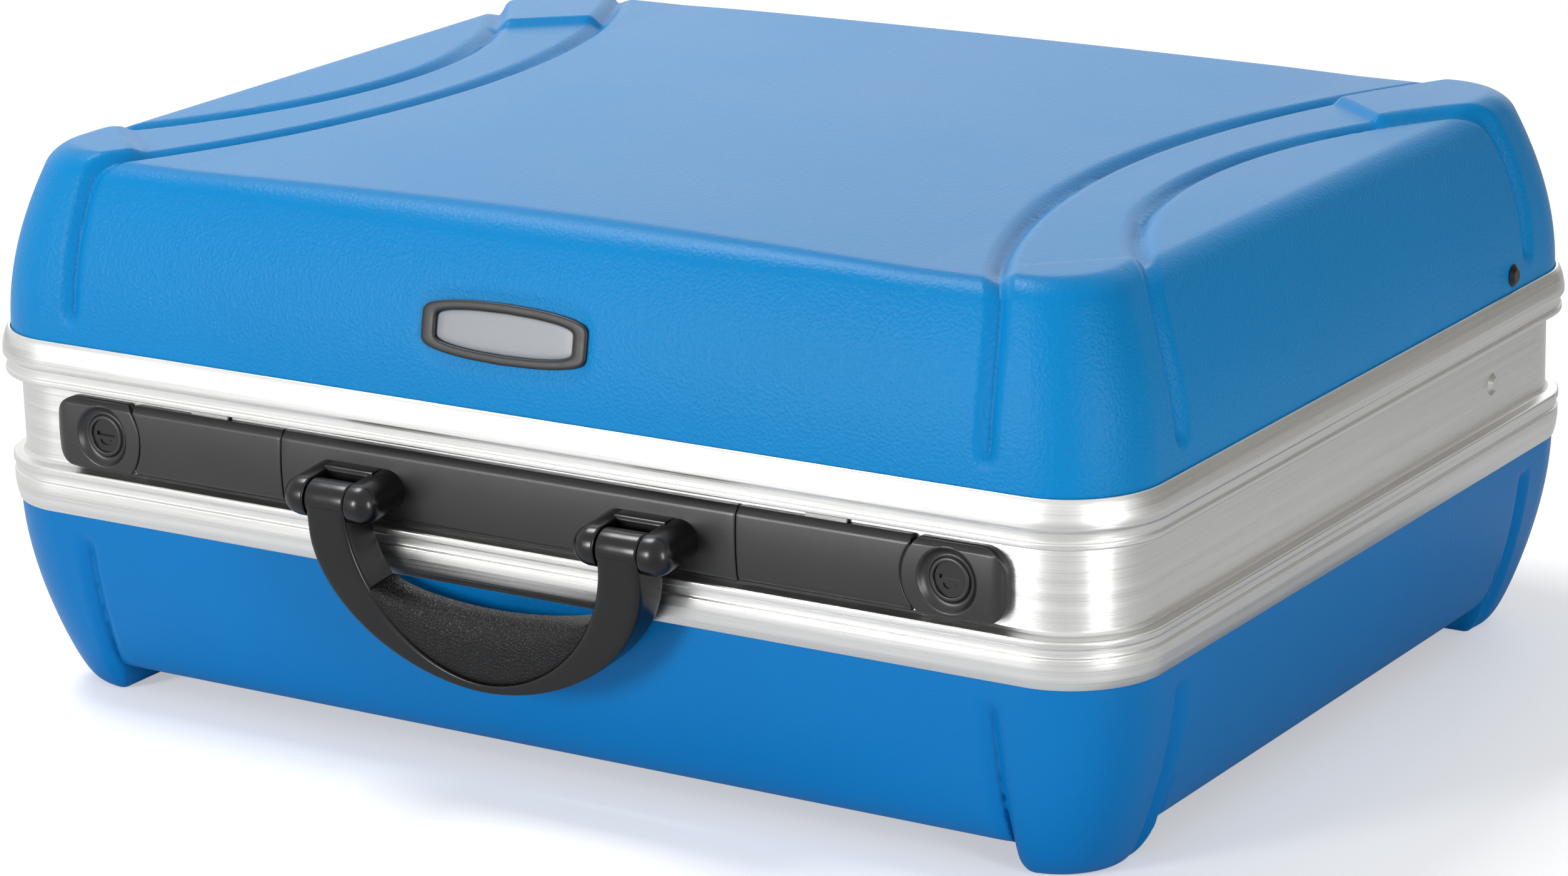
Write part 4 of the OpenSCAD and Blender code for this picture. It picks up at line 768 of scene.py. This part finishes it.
def withArms(line):  # both ends of an outline go straight on up to the barrels
    return np.concatenate([line[0][:1], line[0], line[0][-1:]]), np.concatenate([[-1], line[1], [-1]])


def strapPatches():  # the rounded square between two outlines, and a barrel about the pivot on top of each arm
    angle = np.linspace(0, math.pi, 181)
    p = withArms(outlinePoint(angle, handle["x"] + handle["armWide"] / 2, handle["outerStart"], handle["drop"]))
    q = withArms(innerOutline(angle))
    front, rear = np.full(len(p[0]), -armRadius), np.full(len(p[0]), handle["thick"] - armRadius)
    patches = withCaps(sectionRing(p, q, front, rear, 44, handle["square"]))
    a = np.linspace(0, 2 * math.pi, 65)[:-1]
    barrel = np.stack([armRadius * np.cos(a), armRadius * np.sin(a)], -1)
    for x in (-handle["x"], handle["x"]):
        half = handle["armWide"] / 2
        patches += drawnBar(barrel, x - half, x + half, handle["barrelEdge"], 4, onPivot)
    return patches


def gripPatches():
    # The grip sits in the strap: from just over its inner outline up to a shallow saddle, rising as 4.5 (x / 43)^2; its
    # ends round off as 1 - sqrt(1 - t^2).
    share = np.linspace(0, 1, 90)
    inside = innerOutline(np.radians(lerp(grip["from"], grip["to"], share)))
    x = inside[0] * grip["narrow"]
    top = -handle["drop"] + handle["strap"] + grip["high"] + grip["saddle"] * (x / grip["saddleHalf"]) ** 2
    p, q = (inside[0] * grip["widen"], inside[1] - grip["under"]), (x, top)
    t = np.clip(1 - np.minimum(share, 1 - share) / grip["endShare"], 0, 1)
    less = grip["side"] + grip["endLess"] * (1 - np.sqrt(np.maximum(1 - t ** 2, 0)))
    front, rear = less - armRadius, handle["thick"] - armRadius - less
    return withCaps(sectionRing(p, q, front, rear, 72, grip["square"], grip["round"]))


makePiece("handleStrap", strapPatches(), "handle", polishedNylon, ["handle_frame"], 40)
makePiece("handleGrip", gripPatches(), "handle", gripVinyl, ["handle_grip"], 60)
for side, word in ((-1, "left"), (1, "right")):
    makePiece("handleBracket_" + word, bracketPatches(side), "base", polishedNylon,
              ["handle_bracket_" + word], 50)
print("handle made")

badgeShare = badge["up"] / case["lidHeight"]
badgeY = halfD - lidInset(badgeShare)
badgeTilt = math.atan((lidInset(badgeShare + 0.1) - lidInset(badgeShare - 0.1)) / (0.2 * case["lidHeight"]))


def onBadge(x, up, out):  # the badge's own plane, tilted with the lid's front wall
    c, s = math.cos(badgeTilt), math.sin(badgeTilt)
    return np.stack([x, -badgeY + up * s - out * c, case["lidLip"] + badge["up"] + up * c + out * s], -1)


def badgeRings(layers):
    # Rings of x = a |cos|^p, up = b |sin|^p (1 - barrel (x / a)^2), shrunk and raised layer by layer.
    a = np.linspace(0, 2 * math.pi, 193)[:-1]
    across = power(np.cos(a), badge["power"])
    grids = []
    for less, out in layers:
        up = (badge["high"] / 2 - less) * power(np.sin(a), badge["power"]) * (1 - badge["barrel"] * across ** 2)
        grids.append(onBadge((badge["wide"] / 2 - badge["sideShare"] * less) * across, up, np.full_like(a, out)))
    return np.stack(grids, 1)


b, out = badge["bezel"], badge["out"]
bezelLayers = [(0, -badge["sink"]), (0, 0.1), (0.08, 0.35), (0.3, 0.58), (0.7, 0.7), (1.3, out), (b - 1.2, out),
               (b - 0.5, 0.66), (b - 0.15, 0.45), (b, 0.15), (b, -1.2), (1.4, -badge["sink"])]
b += 0.12  # the insert's edge stands this far inside the bezel
insertLayers = [(b + 4, -1.3), (b, -1.3), (b, -0.85), (b + 0.1, -0.7), (b + 0.4, -0.6), (b + 2, -0.53),
                (b + 4, badge["insertOut"])]
insertRings = badgeRings(insertLayers)
insertEnds = [capPatch(insertRings[:, i], insertRings[:, i].mean(0)) for i in (-1, 0)]
makePiece("badgeBezel", [(badgeRings(bezelLayers), True, True)], "lid", bezelGloss, ["badge_bezel"], 60)
makePiece("badgeInsert", [(insertRings, True, False)] + insertEnds, "lid", insertSilver,
          ["badge_insert"], 60)
print("badge made")


view = {
    "place": (0.96464, -1.50379, 0.60815), "turn": 0.5702459, "down": 0.2861555, "roll": -0.0238468, "lens": 115.776,
}


def addCamera(v):  # straight at the photograph's angle: turn about Z, look down, then roll
    a, e, k = v["turn"], v["down"], v["roll"]
    back = Vector((math.sin(a) * math.cos(e), -math.cos(a) * math.cos(e), math.sin(e)))
    right = Vector((math.cos(a), math.sin(a), 0))
    up = back.cross(right)
    r = math.cos(k) * right + math.sin(k) * up
    u = -math.sin(k) * right + math.cos(k) * up
    data = bpy.data.cameras.new("photoCamera")
    data.lens, data.sensor_width, data.clip_end = v["lens"], 36, 20
    cam = bpy.data.objects.new("photoCamera", data)
    cam.matrix_world = Matrix.Translation(Vector(v["place"])) @ Matrix((r, u, back)).transposed().to_4x4()
    bpy.context.scene.collection.objects.link(cam)
    bpy.context.scene.camera = cam


def addLamp(name, place, target, size, watts):  # a white softbox
    data = bpy.data.lights.new(name, "AREA")
    data.shape, data.size, data.size_y, data.energy = "RECTANGLE", size[0], size[1], watts
    lamp = bpy.data.objects.new(name, data)
    aim = Vector(target) - Vector(place)
    lamp.matrix_world = Matrix.Translation(Vector(place)) @ aim.to_track_quat("-Z", "Y").to_matrix().to_4x4()
    bpy.context.scene.collection.objects.link(lamp)


studio = {
    "worldLight": 0.28, "top": 19, "key": 28, "strip": 14, "back": 5,
    "floorHex": "#E6E6E6", "floorGlow": 0.41, "floorHalf": 6.0, "cardHex": "#A5A29C",
}
addCamera(view)
addLamp("topSoftbox", (-0.75, -0.05, 1.75), (0, 0, 0.1), (0.6, 0.6), studio["top"])
addLamp("keySoftbox", (-0.8, -2.2, 0.6), (0, 0, 0.12), (0.5, 0.65), studio["key"])
addLamp("stripSoftbox", (1.75, -0.9, 0.4), (0, 0, 0.12), (0.16, 0.9), studio["strip"])
addLamp("backSoftbox", (-1.2, 2.2, 0.95), (0, 0, 0.2), (2.2, 1.0), studio["back"])


def addWorld():  # white to the camera and in reflections, dimmer as light
    world = bpy.data.worlds.new("studio")
    bpy.context.scene.world = world
    world.use_nodes = True
    tree = world.node_tree
    path = addNode(tree, "ShaderNodeLightPath").outputs
    seen = addNode(tree, "ShaderNodeMath", {"operation": "MAXIMUM"},
                   {0: path["Is Camera Ray"], 1: path["Is Glossy Ray"]})
    seen = addNode(tree, "ShaderNodeMath", {"operation": "MAXIMUM"},
                   {0: seen.outputs[0], 1: path["Is Transmission Ray"]})
    strength = addNode(tree, "ShaderNodeMapRange", {"To Min": studio["worldLight"], "To Max": 1.0},
                       {"Value": seen.outputs[0]})
    setNode(tree, tree.nodes["Background"], {"Color": (1, 1, 1, 1)}, {"Strength": strength.outputs["Result"]})


def addSheet(name, corners):  # a flat sheet of the studio
    mesh = bpy.data.meshes.new(name)
    mesh.from_pydata(corners, [], [(0, 1, 2, 3)])
    sheet = bpy.data.objects.new(name, mesh)
    bpy.context.scene.collection.objects.link(sheet)
    return sheet


def addFloor():  # a wide sheet of white paper under the feet, a little brighter to the camera alone
    edge = studio["floorHalf"]
    floor = addSheet("floor", [(-edge, -edge, 0), (edge, -edge, 0), (edge, edge, 0), (-edge, edge, 0)])
    material, tree, shader = newMaterial("floorPaper")
    seenByCamera = addNode(tree, "ShaderNodeLightPath").outputs["Is Camera Ray"]
    glow = addNode(tree, "ShaderNodeMath", {"operation": "MULTIPLY", 1: studio["floorGlow"]}, {0: seenByCamera})
    setNode(tree, shader, {"Base Color": linearColour(studio["floorHex"]), "Roughness": 0.7,
                           "Emission Color": (1, 1, 1, 1)}, {"Emission Strength": glow.outputs[0]})
    floor.data.materials.append(material)


def addCard():  # a grey board behind the right side, seen in reflections alone
    card = addSheet("greyCard", [(1.5, 0.1, 0.0), (0.45, 1.55, 0.0), (0.45, 1.55, 1.3), (1.5, 0.1, 1.3)])
    material, tree, shader = newMaterial("greyBoard")
    setNode(tree, shader, {"Base Color": linearColour(studio["cardHex"]), "Roughness": 0.9})
    card.data.materials.append(material)
    card.visible_camera = card.visible_shadow = card.visible_diffuse = False


addWorld()
addCard()
addFloor()
bpy.context.scene.view_settings.view_transform = "Standard"
print("camera, light and floor set")


finishes = {  # the construction's own nodes that stay in sight
    "frame_seal": sealRubber, "handle_pins": zincSteel, "latch_pins": zincSteel, "latch_keepers": zincSteel,
    "key_barrel_left": keyBlack, "key_barrel_right": keyBlack, "lock_cam_left": zincSteel, "lock_cam_right": zincSteel,
    "hinge_leaf_base": zincSteel, "hinge_leaf_lid": zincSteel, "hinge_pins": zincSteel,
    "hinge_rivets_base": brightRivet, "hinge_rivets_lid": brightRivet, "stay_left": zincSteel, "stay_right": zincSteel,
    "stay_pins_base": brightRivet, "stay_pins_lid": polishedNylon,
}
for nodeName, finish in finishes.items():
    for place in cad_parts[nodeName].material_slots:
        place.material = finish
print("construction nodes finished")
